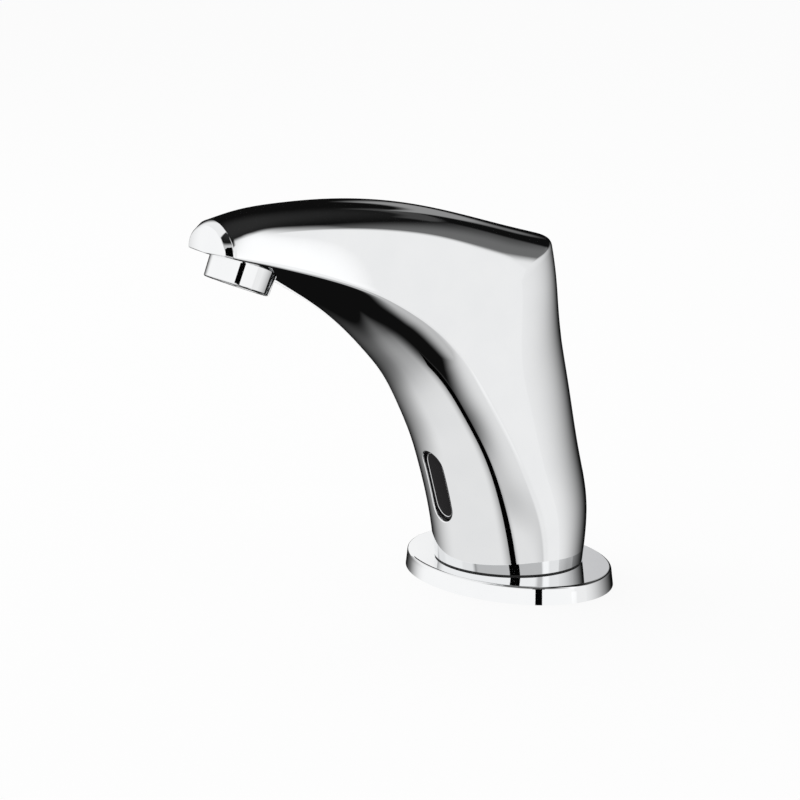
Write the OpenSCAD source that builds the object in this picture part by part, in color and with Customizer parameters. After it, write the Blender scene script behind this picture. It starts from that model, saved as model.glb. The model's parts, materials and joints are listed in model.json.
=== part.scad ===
// Sensor tap for a basin, a one-piece body on an oval deck plate, in millimetres.
// The origin is the centre of the deck plate's underside. The spout points to -Y, up is +Z.

/* [Deck plate] */
// Width of the oval plate, side to side
plate_width = 108; // [100:1:130]
// Depth of the oval plate, front to back
plate_depth = 78; // [74:1:100]
// Height of the plate above the deck
plate_height = 7.6; // [6.5:0.1:12]
// Thickness of the plate's top and rim
plate_wall = 2.6; // [2:0.1:3.5]
// How much wider the rim is at the deck than at its top, on each side
plate_draft = 0.75; // [0.2:0.05:1.5]
// Rounding of the plate's top edge
plate_round = 1.2; // [0.5:0.1:2]
// Diameter of the hole through the plate, over the hole in the deck
plate_hole = 42; // [40:0.5:44]

/* [Body] */
// Width of the body's foot, side to side
foot_width = 69.2; // [66:0.2:74]
// Depth of the body's foot, front to back
foot_depth = 62.6; // [60:0.2:68]
// Height of the body above its foot
body_height = 164.2; // [158:0.2:180]
// Reach from the middle of the foot to the tip of the nose
spout_reach = 150; // [144:0.5:165]
// Width of the nose
nose_width = 33.2; // [32:0.2:38]
// How far the rounded nose stands out past the last full section
nose_length = 5; // [3:0.2:8]
// Thickness of the casting's wall
body_wall = 3; // [2.4:0.1:3.6]

/* [Sensor] */
// Width of the window in the body
window_width = 14; // [12:0.2:15]
// Height of the window in the body
window_height = 33; // [28:0.5:34]
// How far the lens lies below the body's surface
window_recess = 1.5; // [0.8:0.1:2.5]
// Depth of the box behind the lens
sensor_depth = 11; // [9:0.2:12]

/* [Outlet] */
// Outer diameter of the aerator's collar
collar_diameter = 28; // [26:0.2:29]
// Height of the collar below the spout
collar_height = 8.5; // [6:0.1:12]
// Diameter of the thread that holds the aerator
outlet_thread = 24; // [22:0.5:24.5]
// Length of that thread
thread_length = 7; // [5.5:0.5:8]

/* [Valve] */
// Travel of the solenoid's plunger
plunger_travel = 2.5; // [1.5:0.1:3]
// Radius of the seat that the diaphragm closes
seat_radius = 3; // [2.4:0.1:3.2]
// Lift of the check valve's poppet
poppet_lift = 2; // [1:0.1:2.4]

/* [Water pipes] */
// Diameter of the riser between the inlet and the valve
riser_diameter = 12; // [11:0.1:12.4]
// Diameter of the pipe from the valve to the spout
outlet_pipe = 8; // [7:0.1:8.6]
// Bend radius of that pipe, at its middle
pipe_bend = 20; // [18:0.5:22]
// Drilled diameter of the threaded inlet for the supply hose
inlet_drill = 9; // [8.5:0.1:9.4]

/* [Fixings] */
// Distance between the two threaded holes for the fixing studs
stud_spacing = 30; // [28:0.5:34]
// Drilled diameter of those holes
stud_drill = 5; // [4.2:0.1:6.8]
// Thickness of the base plate inside the foot
base_height = 8; // [7.5:0.1:9]

/* [Battery] */
// Width of the battery
battery_width = 35; // [33:0.5:36]
// Height of the battery
battery_height = 34; // [32:0.5:34.5]
// Thickness of the battery
battery_thickness = 19.5; // [17:0.5:20]

/* [Hidden] */

// How far a cut runs past the face that it opens
overrun = 1;
// Slack between flat pieces that slide together, and of a thread or a push fit
slack = 0.3;
fit = 0.05;
// Facets of a full circle, and of the oval outlines
$fn = 64;
oval_sides = 72;

// Body profile. Each row is one section of the arch, from the foot to the nose: how far its
// front point lies along the reach and the height, the same for its back point, its half
// width, the level of its widest place, and the five pulls that shape its two curves.
// front reach, front height, back reach, back height, width, level,
// keel pull, crease pull outwards, crease pull up, side pull, crown pull
station_shares = [
    [0.000, 0.000,  0.000, 0.000, 1.000, 0.500, 0.55, 1.00, 0.45, 0.55, 0.55],
    [0.023, 0.110, -0.013, 0.155, 1.000, 0.490, 0.58, 1.00, 0.44, 0.55, 0.56],
    [0.055, 0.219,  0.011, 0.305, 0.928, 0.430, 0.60, 1.00, 0.42, 0.58, 0.60],
    [0.100, 0.323,  0.039, 0.475, 0.822, 0.360, 0.62, 1.00, 0.40, 0.64, 0.64],
    [0.167, 0.422,  0.063, 0.621, 0.722, 0.300, 0.61, 0.98, 0.40, 0.70, 0.68],
    [0.246, 0.513,  0.081, 0.743, 0.628, 0.260, 0.57, 0.95, 0.42, 0.84, 0.76],
    [0.339, 0.590,  0.099, 0.860, 0.544, 0.240, 0.52, 0.91, 0.45, 0.92, 0.80],
    [0.434, 0.658,  0.239, 0.904, 0.467, 0.235, 0.47, 0.86, 0.48, 0.92, 0.80],
    [0.537, 0.720,  0.432, 0.963, 0.378, 0.230, 0.42, 0.82, 0.50, 0.90, 0.78],
    [0.642, 0.771,  0.625, 0.995, 0.267, 0.210, 0.40, 0.80, 0.50, 0.82, 0.74],
    [0.747, 0.816,  0.779, 1.000, 0.156, 0.170, 0.40, 0.80, 0.50, 0.76, 0.70],
    [0.853, 0.855,  0.890, 0.994, 0.067, 0.110, 0.40, 0.80, 0.50, 0.68, 0.66],
    [0.962, 0.887,  0.975, 0.977, 0.000, 0.050, 0.40, 0.80, 0.50, 0.56, 0.56]];
// Squareness of the rounded nose, and how much lower it gets on its way to the tip
nose_square = 3;
nose_drop_share = 0.18;
// The rows that the window, the back's corner and the outlet lie on, and how much of the arch
// is hollow
window_row_number = 2;
corner_row_number = 6;
outlet_row_number = 11;
cavity_end_share = 0.8;
// Steps along the arch and round half a section, outside and in the cavity
outer_steps_per_station = 4;
inner_steps_per_station = 2;
nose_steps = 6;
outer_keel_steps = 8;
outer_side_steps = 16;
inner_keel_steps = 4;
inner_side_steps = 8;

foot_gasket_height = 0.6;
foot_gasket_width = 2.2;
foot_gasket_inset = 0.4;
foot_level = plate_height + foot_gasket_height;

// Sensor pieces, in the window's frame
boss_side = 4;
boss_end = 11.5;
boss_half_width = window_width / 2 + boss_side;
boss_half_height = window_height / 2 + boss_end;
boss_front = 2.2;
boss_end_front = 1.2;
boss_end_height = 9;
seat_depth = 7.5;
sensor_gasket_height = 0.8;
lens_flange = 3.5;
lens_flange_height = 1.5;
lens_slack = 0.2;
sensor_wall = 1.5;
board_height = 1.2;
board_drop = 2.8;
ledge_width = 1.5;
ledge_height = 2.5;
ear_radius = 4;
ear_height = 2.2;
sensor_screw_radius = 1.45;
sensor_screw_head = 2.75;
sensor_screw_head_height = 2;
sensor_screw_reach = 4.3;
chip_width = 3;
chip_length = 4;
chip_side = 3;
chip_spacing = 7;
cover_height = 1.5;
emitter_radius = 2.5;
emitter_flange = 0.4;
emitter_flange_height = 1;
emitter_height = 6;
receiver_width = 5;
receiver_height = 6;
receiver_depth = 2.6;
receiver_lens_radius = 1.8;
eye_offset = window_height / 4;
sensor_screw_offset = window_height / 2 + lens_flange + ear_radius;

// Aerator pieces, in the outlet's frame
collar_seat = 2;
collar_taper = 0.3;
collar_chamfer = 0.8;
collar_wall = 1.5;
collar_lip = 1;
washer_height = 1.8;
washer_inner = 8.2;
outlet_bore = outlet_thread / 2 + fit;
outlet_chamber_radius = 8;
outlet_chamber_height = 4.2;
insert_wall = 1.2;
insert_bar = 0.9;
insert_bar_gap = 1.7;
insert_fit = 0.08;
insert_height = 12.5;
screen_height = 0.8;
screen_rise = 1.2;
screen_wire = 0.5;
screen_gap = 1.3;

// Pipes and their seals
pipe_wall = 1;
pipe_rise_angle = 9;
pipe_stop = 10;
pipe_stop_lip = 0.9;
pipe_seal_wire = 1.9;
pipe_seal_place = 3;
valve_socket = 6;
waterway_entry_run = 15;

// Inlet, riser and check valve, all on the riser's axis behind the middle of the foot
riser_offset = 9;
union_wall = 2.5;
union_hex_height = 5.5;
union_hex_flats = 19;
union_seal_wire = 1.4;
inlet_thread_length = 8;
chamber_wall = 3;
filter_height = 4.5;
filter_flange_height = 0.8;
filter_wall = 0.6;
filter_slots = 10;
filter_slot = 1;
cage_floor = 1.8;
cage_height = 8;
cage_wall = 1.2;
poppet_height = 1.2;
poppet_slack = 0.6;
poppet_stem_radius = 1;
poppet_port = 2.6;
cap_height = 1;
cap_rim = 1.6;
cap_arm = 1.4;
spring_wire = 0.6;
check_spring_turns = 3;
riser_socket = 6;

// Valve, on an axis that points forward, at a share of the body's height
valve_axis_share = 0.466;
valve_axis = valve_axis_share * body_height;
valve_half_width = 13;
valve_half_height = 13;
valve_front = -1;
valve_back = 17;
annulus_radius = 9.5;
annulus_depth = 3;
seat_wall = 1.4;
diaphragm_height = 1.2;
diaphragm_rim = 2;
insert_plate_radius = 6;
insert_plate_height = 1.2;
bonnet_height = 6.6;
bonnet_half = 13;
bonnet_chamber_radius = 8.5;
bonnet_wall = 1.2;
valve_screw_offset = 10.4;
valve_screw_radius = 1.45;
valve_screw_head = 2.6;
valve_screw_head_height = 2;
valve_screw_reach = 8;
port_radius = 3;
guide_wall = 0.6;
guide_flange = 1.5;
plunger_radius = 3;
plunger_fit = 0.06;
plunger_length = 13;
plunger_spring_length = 4.5;
plunger_spring_turns = 4;
plunger_spring_wire = 0.5;
coil_radius = 8.6;
coil_length = 22;
bobbin_flange = 1.2;
winding_inset = 1.4;
yoke_wall = 1;
core_flange = 1;

// Chassis and battery holder
chassis_thickness = 1.5;
chassis_half_width = 16;
chassis_foot = 11;
chassis_screw_offset = 10;
chassis_screw_radius = 1.45;
chassis_screw_head = 2.6;
chassis_screw_head_height = 2;
chassis_screw_reach = 5;
holder_wall = 1.5;
battery_slack = 0.25;
holder_lip = 3;
lead_radius = 1.2;

// Base plate
base_radius = 24;
base_ear_radius = 3.6;
base_boss_radius = 5;
base_boss_height = 11;
base_screw_radius = 1.95;
base_screw_head = 3.2;
base_screw_head_height = 2.2;
base_screw_reach = 7;
base_screw_offset = foot_width / 2 - body_wall - 4.1;
plate_rib = 4;
deck_gasket_width = 4;

function blend(a, b, c, d, t) =
    0.5 * (2 * b + (c - a) * t + (2 * a - 5 * b + 4 * c - d) * t * t
    + (3 * b - a - 3 * c + d) * t * t * t);

function bezier(a, b, c, d, t) =
    a * pow(1 - t, 3) + 3 * b * t * pow(1 - t, 2) + 3 * c * t * t * (1 - t) + d * pow(t, 3);

last_station = len(station_shares) - 1;
foot_half_depth = foot_depth / 2;

// One row in millimetres: front point, back point, half width, then the shares as they are
function station_size(row) = concat(
    [foot_half_depth + (spout_reach - foot_half_depth) * row[0], body_height * row[1],
    (spout_reach + foot_half_depth) * row[2] - foot_half_depth, body_height * row[3],
    nose_width / 2 + (foot_width - nose_width) / 2 * row[4]],
    [for (k = [5 : 10]) row[k]]);

function row_at(k) =
    k < 0 ? 2 * row_at(0) - row_at(1)
    : k > last_station ? 2 * row_at(last_station) - row_at(last_station - 1)
    : station_size(station_shares[k]);

// The section at any place along the arch, on a smooth curve through the rows. Its back point
// turns a corner at one row, where the back becomes the top.
function station(t) =
    let (k = min(floor(t), last_station - 1), f = t - k,
        smooth = blend(row_at(k - 1), row_at(k), row_at(k + 1), row_at(k + 2), f),
        before = k == corner_row_number ? 2 * row_at(k) - row_at(k + 1) : row_at(k - 1),
        after = k + 1 == corner_row_number ? 2 * row_at(k + 1) - row_at(k) : row_at(k + 2),
        cornered = blend(before, row_at(k), row_at(k + 1), after, f))
    [for (c = [0 : 10]) c == 2 || c == 3 ? cornered[c] : smooth[c]];

// The same section a wall's thickness further in
function inset(v, wall) =
    let (run = norm([v[2] - v[0], v[3] - v[1]]), f = (v[2] - v[0]) / run, z = (v[3] - v[1]) / run)
    concat([v[0] + f * wall, v[1] + z * wall, v[2] - f * wall, v[3] - z * wall, v[4] - wall],
        [for (k = [5 : 10]) v[k]]);

// The right half of a section, from keel to crown: distance sideways and share of its depth
function half_section(v, keel_steps, side_steps) = concat(
    [for (k = [0 : keel_steps - 1]) bezier([0, 0], [v[6] * v[4], 0],
        [v[7] * v[4], v[8] * v[5]], [v[4], v[5]], k / keel_steps)],
    [for (k = [0 : side_steps]) bezier([v[4], v[5]], [v[4], v[5] + v[9] * (1 - v[5])],
        [v[10] * v[4], 1], [0, 1], k / side_steps)]);

// A whole section in space, shrunk towards its keel and moved forward for the nose
function section(v, keel_steps, side_steps, shrink = 1, forward = 0) =
    let (half = half_section(v, keel_steps, side_steps), last = len(half) - 1,
        origin = [v[0] + forward * cos(outlet_tilt), v[1] + forward * sin(outlet_tilt)],
        run = [v[2] - v[0], v[3] - v[1]] * shrink * (1 - nose_drop_share * forward / nose_length))
    concat([for (p = half) [p[0] * shrink, -origin[0] - run[0] * p[1], origin[1] + run[1] * p[1]]],
        [for (k = [last - 1 : -1 : 1])
            [-half[k][0] * shrink, -origin[0] - run[0] * half[k][1], origin[1] + run[1] * half[k][1]]]);

outlet_point = [row_at(outlet_row_number)[0], row_at(outlet_row_number)[1]];
outlet_tilt = atan2(row_at(outlet_row_number + 1)[1] - row_at(outlet_row_number)[1],
    row_at(outlet_row_number + 1)[0] - row_at(outlet_row_number)[0]);
window_point = [row_at(window_row_number)[0], row_at(window_row_number)[1]];
window_tilt = atan2(row_at(window_row_number + 1)[0] - row_at(window_row_number - 1)[0],
    row_at(window_row_number + 1)[1] - row_at(window_row_number - 1)[1]);

outer_rings = concat(
    [for (k = [0 : last_station * outer_steps_per_station])
        section(station(k / outer_steps_per_station), outer_keel_steps, outer_side_steps)],
    [for (k = [1 : nose_steps - 1]) let (a = 90 * k / nose_steps)
        section(row_at(last_station), outer_keel_steps, outer_side_steps,
            pow(cos(a), 2 / nose_square), nose_length * pow(sin(a), 2 / nose_square))]);
cavity_end = cavity_end_share * last_station;
inner_ring_count = round(cavity_end * inner_steps_per_station);
inner_rings = [for (k = [0 : inner_ring_count])
    section(inset(station(cavity_end * k / inner_ring_count), body_wall),
        inner_keel_steps, inner_side_steps)];
nose_tip = [0, -row_at(last_station)[0] - nose_length * cos(outlet_tilt),
    row_at(last_station)[1] + nose_length * sin(outlet_tilt)];

// Triangles between neighbouring rings of n points, the first point having the index given
function band_faces(rings, n, first, inside) = [for (i = [0 : rings - 2], j = [0 : n - 1], s = [0, 1])
    let (a = first + i * n + j, b = first + i * n + (j + 1) % n, c = a + n, d = b + n)
    s == 0 ? (inside ? [a, c, b] : [a, b, c]) : (inside ? [b, c, d] : [b, d, c])];

// Spring made as one unbroken tube, with its ends cut square
function spring_points(radius, wire, turns, length, steps, sides) =
    [for (k = [0 : steps], j = [0 : sides - 1])
        let (a = 360 * turns * k / steps, b = 360 * j / sides,
            r = radius + wire / 2 * cos(b))
        [r * cos(a), r * sin(a), wire / 2 + (length - wire) * k / steps + wire / 2 * sin(b)]];

function tube_faces(rings, sides) = concat(
    [[for (j = [sides - 1 : -1 : 0]) j]],
    [for (i = [0 : rings - 2], j = [0 : sides - 1], s = [0, 1])
        let (a = i * sides + j, b = i * sides + (j + 1) % sides, c = a + sides, d = b + sides)
        s == 0 ? [a, b, c] : [b, d, c]],
    [[for (j = [0 : sides - 1]) (rings - 1) * sides + j]]);

// Lead along a smooth curve through its points
function lead_place(points, t) =
    let (n = len(points) - 1, k = min(floor(t), n - 1))
    blend(points[max(k - 1, 0)], points[k], points[k + 1], points[min(k + 2, n)], t - k);

function unit(v) = v / norm(v);

function lead_ring(place, along, radius, sides) =
    let (side = unit(cross(along, [1, 0.2, 0.1])), up = cross(side, along))
    [for (j = [0 : sides - 1]) place + radius * (cos(360 * j / sides) * side + sin(360 * j / sides) * up)];

module lead(points, radius, steps_each = 4, sides = 8) {
    steps = (len(points) - 1) * steps_each;
    small = 0.01;
    rings = [for (k = [0 : steps])
        let (t = k / steps_each, a = lead_place(points, max(t - small, 0)),
            b = lead_place(points, min(t + small, len(points) - 1)))
        lead_ring(lead_place(points, t), unit(b - a), radius, sides)];
    polyhedron(points = [for (r = rings, p = r) p], faces = tube_faces(steps + 1, sides));
}

module spring(radius, wire, turns, length) {
    steps = turns * 12;
    sides = 6;
    polyhedron(points = spring_points(radius, wire, turns, length, steps, sides),
        faces = tube_faces(steps + 1, sides));
}

// Places its children above the foot, which stands on its gasket on the plate
module above_foot() {
    translate([0, 0, foot_level])
        children();
}

// The window's frame: origin on the body's surface, +Z into the body, +Y down the window
module at_window() {
    above_foot()
        translate([0, -window_point[0], window_point[1]])
            rotate([window_tilt - 90, 0, 0])
                children();
}

// The outlet's frame: origin under the spout, +Z along the falling water
module at_outlet() {
    above_foot()
        translate([0, -outlet_point[0], outlet_point[1]])
            rotate([180 - outlet_tilt, 0, 0])
                children();
}

// The riser's frame: origin on the foot's level, +Z up the riser
module at_riser() {
    above_foot()
        translate([0, riser_offset, 0])
            children();
}

// The valve's frame: origin where the valve's axis leaves its body, +Z forward
module at_valve() {
    above_foot()
        translate([0, valve_front, valve_axis])
            rotate([90, 0, 0])
                children();
}

module ring(outer, inner, height) {
    difference() {
        cylinder(r = outer, h = height);
        translate([0, 0, -overrun])
            cylinder(r = inner, h = height + 2 * overrun);
    }
}

module stadium(width, height) {
    straight = height - width;
    square([width, straight], center = true);
    for (s = [-1, 1])
        translate([0, s * straight / 2])
            circle(d = width);
}

module block(width, depth, height) {
    translate([-width / 2, -depth / 2, 0])
        cube([width, depth, height]);
}

module oval(width, depth) {
    polygon([for (k = [0 : oval_sides - 1])
        [width / 2 * cos(360 * k / oval_sides), depth / 2 * sin(360 * k / oval_sides)]]);
}

module seal_ring(middle, wire) {
    rotate_extrude()
        translate([middle, 0])
            circle(d = wire, $fn = 24);
}

module screw(radius, length, head, head_height) {
    cylinder(r = radius, h = length);
    translate([0, 0, length])
        difference() {
            cylinder(r = head, h = head_height);
            translate([0, 0, head_height / 2])
                cylinder(r = head / 2, h = head_height, $fn = 6);
        }
}

// Water pipe from the valve to the outlet chamber, in the plane of symmetry
pipe_meet = [outlet_point[0] - (collar_seat + thread_length + washer_height + outlet_chamber_height / 2)
    * sin(outlet_tilt), outlet_point[1] + (collar_seat + thread_length + washer_height
    + outlet_chamber_height / 2) * cos(outlet_tilt)];
pipe_corner = pipe_meet[1] - (pipe_meet[0] + riser_offset) * tan(pipe_rise_angle);
pipe_turn = 90 - pipe_rise_angle;
pipe_bend_start = pipe_corner - pipe_bend * tan(pipe_turn / 2);
pipe_bend_end = [pipe_bend * (1 - cos(pipe_turn)) - riser_offset,
    pipe_bend_start + pipe_bend * sin(pipe_turn)];
pipe_straight = norm(pipe_meet - pipe_bend_end) - pipe_stop;
pipe_bottom = valve_axis + valve_half_height - valve_socket;

// The pipe's frame where it meets the outlet chamber: +Z back along the pipe
module at_pipe_end() {
    above_foot()
        translate([0, -pipe_meet[0], pipe_meet[1]])
            rotate([-90 - pipe_rise_angle, 0, 0])
                children();
}

module body_shell() {
    outer_count = 2 * (outer_keel_steps + outer_side_steps);
    inner_count = 2 * (inner_keel_steps + inner_side_steps);
    inner_first = len(outer_rings) * outer_count;
    tip = inner_first + len(inner_rings) * inner_count;
    last_outer = inner_first - outer_count;
    last_inner = tip - inner_count;
    polyhedron(
        points = concat([for (r = outer_rings, p = r) p], [for (r = inner_rings, p = r) p], [nose_tip]),
        faces = concat(
            band_faces(len(outer_rings), outer_count, 0, true),
            band_faces(len(inner_rings), inner_count, inner_first, false),
            [for (j = [0 : outer_count - 1]) [last_outer + j, tip, last_outer + (j + 1) % outer_count]],
            [[for (j = [0 : inner_count - 1]) last_inner + j]],
            [for (j = [0 : inner_count - 1], s = [0 : 2])
                let (a = inner_first + j, b = inner_first + (j + 1) % inner_count,
                    c = 2 * j, d = 2 * j + 1, e = (2 * j + 2) % outer_count)
                s == 0 ? [a, c, d] : s == 1 ? [a, d, b] : [b, d, e]]),
        convexity = 10);
}

module tap_body() {
    socket_depth = collar_seat + thread_length + washer_height;
    color("gainsboro")
    difference() {
        union() {
            above_foot()
                body_shell();
            at_window()
                union() {
                    translate([0, 0, boss_front])
                        block(2 * boss_half_width, 2 * boss_half_height, seat_depth - boss_front);
                    for (s = [-1, 1])
                        translate([0, s * (boss_half_height - boss_end_height / 2), boss_end_front])
                            block(2 * boss_half_width, boss_end_height, seat_depth - boss_end_front);
                }
            above_foot()
                for (s = [-1, 1])
                    translate([s * base_screw_offset, 0, base_height])
                        cylinder(r = base_boss_radius, h = base_boss_height);
        }
        at_window() {
            translate([0, 0, -2 * overrun])
                linear_extrude(height = seat_depth + 3 * overrun)
                    stadium(window_width, window_height);
            for (s = [-1, 1])
                translate([0, s * sensor_screw_offset, seat_depth - sensor_screw_reach])
                    cylinder(r = sensor_screw_radius + fit, h = sensor_screw_reach + overrun);
        }
        above_foot()
            for (s = [-1, 1])
                translate([s * base_screw_offset, 0, base_height - overrun])
                    cylinder(r = base_screw_radius + fit, h = base_screw_reach + slack + overrun);
        at_outlet() {
            translate([0, 0, -collar_seat])
                cylinder(d = collar_diameter + 2 * slack, h = collar_seat + 3 * overrun);
            translate([0, 0, -socket_depth])
                cylinder(r = outlet_bore, h = socket_depth + overrun);
            translate([0, 0, -socket_depth - outlet_chamber_height])
                cylinder(r = outlet_chamber_radius, h = outlet_chamber_height + overrun);
        }
        at_pipe_end() {
            cylinder(r = outlet_pipe / 2 - pipe_stop_lip, h = pipe_stop + overrun);
            translate([0, 0, pipe_stop])
                cylinder(r = outlet_pipe / 2 + fit, h = waterway_entry_run);
            translate([0, 0, pipe_stop + pipe_seal_place])
                cylinder(r = outlet_pipe / 2 + pipe_seal_wire + 2 * fit, h = pipe_seal_wire + 2 * slack);
        }
    }
}

module deck_plate() {
    round_steps = 4;
    profile = concat([[plate_draft, 0]],
        [for (k = [0 : round_steps]) let (a = 90 * k / round_steps)
            [plate_round * (cos(a) - 1), plate_height - plate_round * (1 - sin(a))]]);
    rings = len(profile);
    top = (rings - 1) * oval_sides;
    color("silver")
    difference() {
        polyhedron(
            points = [for (p = profile, k = [0 : oval_sides - 1]) let (a = 360 * k / oval_sides)
                [(plate_width / 2 + p[0]) * cos(a), (plate_depth / 2 + p[0]) * sin(a), p[1]]],
            faces = concat(band_faces(rings, oval_sides, 0, true),
                [[for (k = [0 : oval_sides - 1]) k]],
                [[for (k = [oval_sides - 1 : -1 : 0]) top + k]]));
        difference() {
            translate([0, 0, -overrun])
                linear_extrude(height = plate_height - plate_wall + overrun)
                    oval(plate_width - 2 * plate_wall, plate_depth - 2 * plate_wall);
            translate([0, 0, -2 * overrun])
                cylinder(d = plate_hole + 2 * plate_rib, h = plate_height + 2 * overrun);
        }
        translate([0, 0, -overrun])
            cylinder(d = plate_hole, h = plate_height + 2 * overrun);
    }
}

module deck_gasket() {
    width = plate_width - 2 * plate_wall - 2 * fit;
    depth = plate_depth - 2 * plate_wall - 2 * fit;
    color("dimgray")
    difference() {
        linear_extrude(height = plate_height - plate_wall)
            oval(width, depth);
        translate([0, 0, -overrun])
            linear_extrude(height = plate_height + overrun)
                oval(width - 2 * deck_gasket_width, depth - 2 * deck_gasket_width);
    }
}

module foot_gasket() {
    width = foot_width - 2 * foot_gasket_inset;
    depth = foot_depth - 2 * foot_gasket_inset;
    color("black")
    translate([0, 0, plate_height])
        difference() {
            linear_extrude(height = foot_gasket_height)
                oval(width, depth);
            translate([0, 0, -overrun])
                linear_extrude(height = foot_gasket_height + 2 * overrun)
                    oval(width - 2 * foot_gasket_width, depth - 2 * foot_gasket_width);
        }
}

module base_plate() {
    color("goldenrod")
    difference() {
        above_foot() {
            cylinder(r = base_radius, h = base_height);
            block(2 * base_screw_offset, 2 * base_ear_radius, base_height);
            for (s = [-1, 1])
                translate([s * base_screw_offset, 0, 0])
                    cylinder(r = base_ear_radius, h = base_height);
        }
        above_foot()
            for (s = [-1, 1]) {
                translate([s * base_screw_offset, 0, -overrun])
                    cylinder(r = base_screw_radius + slack / 2, h = base_height + 2 * overrun);
                translate([s * base_screw_offset, 0, -overrun])
                    cylinder(r = base_screw_head + slack / 2, h = base_screw_head_height + slack + overrun);
                translate([s * stud_spacing / 2, 0, -overrun])
                    cylinder(d = stud_drill, h = base_height + 2 * overrun);
                translate([s * chassis_screw_offset, chassis_screw_y, base_height - chassis_screw_reach])
                    cylinder(r = chassis_screw_radius + fit, h = chassis_screw_reach + overrun);
            }
        at_riser()
            translate([0, 0, -overrun])
                cylinder(r = union_radius + fit, h = base_height + 2 * overrun);
    }
}

module base_screws() {
    length = base_height - base_screw_head_height - slack + base_screw_reach;
    color("silver")
    above_foot()
        for (s = [-1, 1])
            translate([s * base_screw_offset, 0, base_height + base_screw_reach])
                rotate([180, 0, 0])
                    screw(base_screw_radius, length, base_screw_head, base_screw_head_height);
}

// Inlet, all lengths measured up the riser's axis from the foot's level
chamber_step = 0.5;
chamber_radius = riser_diameter / 2 - chamber_step;
union_radius = riser_diameter / 2 + union_wall;
inlet_top = inlet_thread_length - union_hex_height;
filter_top = inlet_top + filter_height;
cage_top = filter_top + cage_height;
union_top = cage_top + cap_height + riser_socket;
riser_bottom = cage_top + cap_height;
riser_top = valve_axis - valve_half_height + valve_socket;
poppet_seat = filter_top + cage_floor;

module inlet_union() {
    color("darkgoldenrod")
    at_riser()
        difference() {
            union() {
                cylinder(r = union_radius, h = union_top);
                translate([0, 0, -union_hex_height])
                    cylinder(r = union_hex_flats / 2 / cos(30), h = union_hex_height, $fn = 6);
            }
            translate([0, 0, -union_hex_height - overrun])
                cylinder(d = inlet_drill, h = inlet_thread_length + overrun + fit);
            translate([0, 0, inlet_top])
                cylinder(r = chamber_radius, h = union_top);
            translate([0, 0, riser_bottom])
                cylinder(r = riser_diameter / 2 + fit, h = union_top);
            translate([0, 0, base_height + fit])
                difference() {
                    cylinder(r = union_radius + overrun, h = union_seal_wire + 2 * fit);
                    translate([0, 0, -overrun])
                        cylinder(r = union_radius - union_seal_wire / 2, h = union_seal_wire + 3 * overrun);
                }
        }
}

module inlet_seal() {
    color("black")
    at_riser()
        translate([0, 0, base_height + union_seal_wire / 2 + 2 * fit])
            seal_ring(union_radius, union_seal_wire - 2 * fit);
}

module inlet_filter() {
    radius = chamber_radius - fit;
    cup = radius - filter_wall - 1;
    color("lightgray")
    at_riser()
        translate([0, 0, inlet_top])
            difference() {
                union() {
                    cylinder(r = radius, h = filter_flange_height);
                    cylinder(r = cup, h = filter_height - slack);
                }
                translate([0, 0, -overrun])
                    cylinder(r = cup - filter_wall, h = filter_height - slack - filter_wall + overrun);
                for (k = [0 : filter_slots - 1])
                    rotate([0, 0, 360 * k / filter_slots])
                        translate([0, -filter_slot / 2, filter_flange_height + filter_wall])
                            cube([cup + overrun, filter_slot, filter_height / 2]);
            }
}

module check_valve_cage() {
    color("white")
    at_riser()
        translate([0, 0, filter_top])
            difference() {
                cylinder(r = chamber_radius - fit, h = cage_height);
                translate([0, 0, -overrun])
                    cylinder(r = poppet_port, h = cage_floor + 2 * overrun);
                translate([0, 0, cage_floor])
                    cylinder(r = chamber_radius - fit - cage_wall, h = cage_height);
            }
}

module check_valve_poppet() {
    color("orange")
    at_riser()
        translate([0, 0, poppet_seat]) {
            cylinder(r = poppet_port + poppet_slack, h = poppet_height);
            cylinder(r = poppet_stem_radius, h = cage_top + cap_height - poppet_seat);
        }
}

module check_valve_spring() {
    length = cage_top - poppet_seat - poppet_height;
    color("silver")
    at_riser()
        translate([0, 0, poppet_seat + poppet_height])
            spring(poppet_port - spring_wire / 2, spring_wire, check_spring_turns, length);
}

module check_valve_cap() {
    radius = chamber_radius - fit;
    color("white")
    at_riser()
        translate([0, 0, cage_top])
            difference() {
                union() {
                    ring(radius, radius - cap_rim, cap_height);
                    for (a = [0, 90])
                        rotate([0, 0, a])
                            block(2 * radius - cap_rim, cap_arm, cap_height);
                    cylinder(r = poppet_stem_radius + cap_arm, h = cap_height);
                }
                translate([0, 0, -overrun])
                    cylinder(r = poppet_stem_radius + fit, h = cap_height + 2 * overrun);
            }
}

module riser_pipe() {
    color("silver")
    at_riser()
        translate([0, 0, riser_bottom])
            ring(riser_diameter / 2, riser_diameter / 2 - pipe_wall, riser_top - riser_bottom);
}

module valve_screw_places() {
    for (x = [-1, 1], y = [-1, 1])
        translate([x * valve_screw_offset, y * valve_screw_offset, 0])
            children();
}

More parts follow.
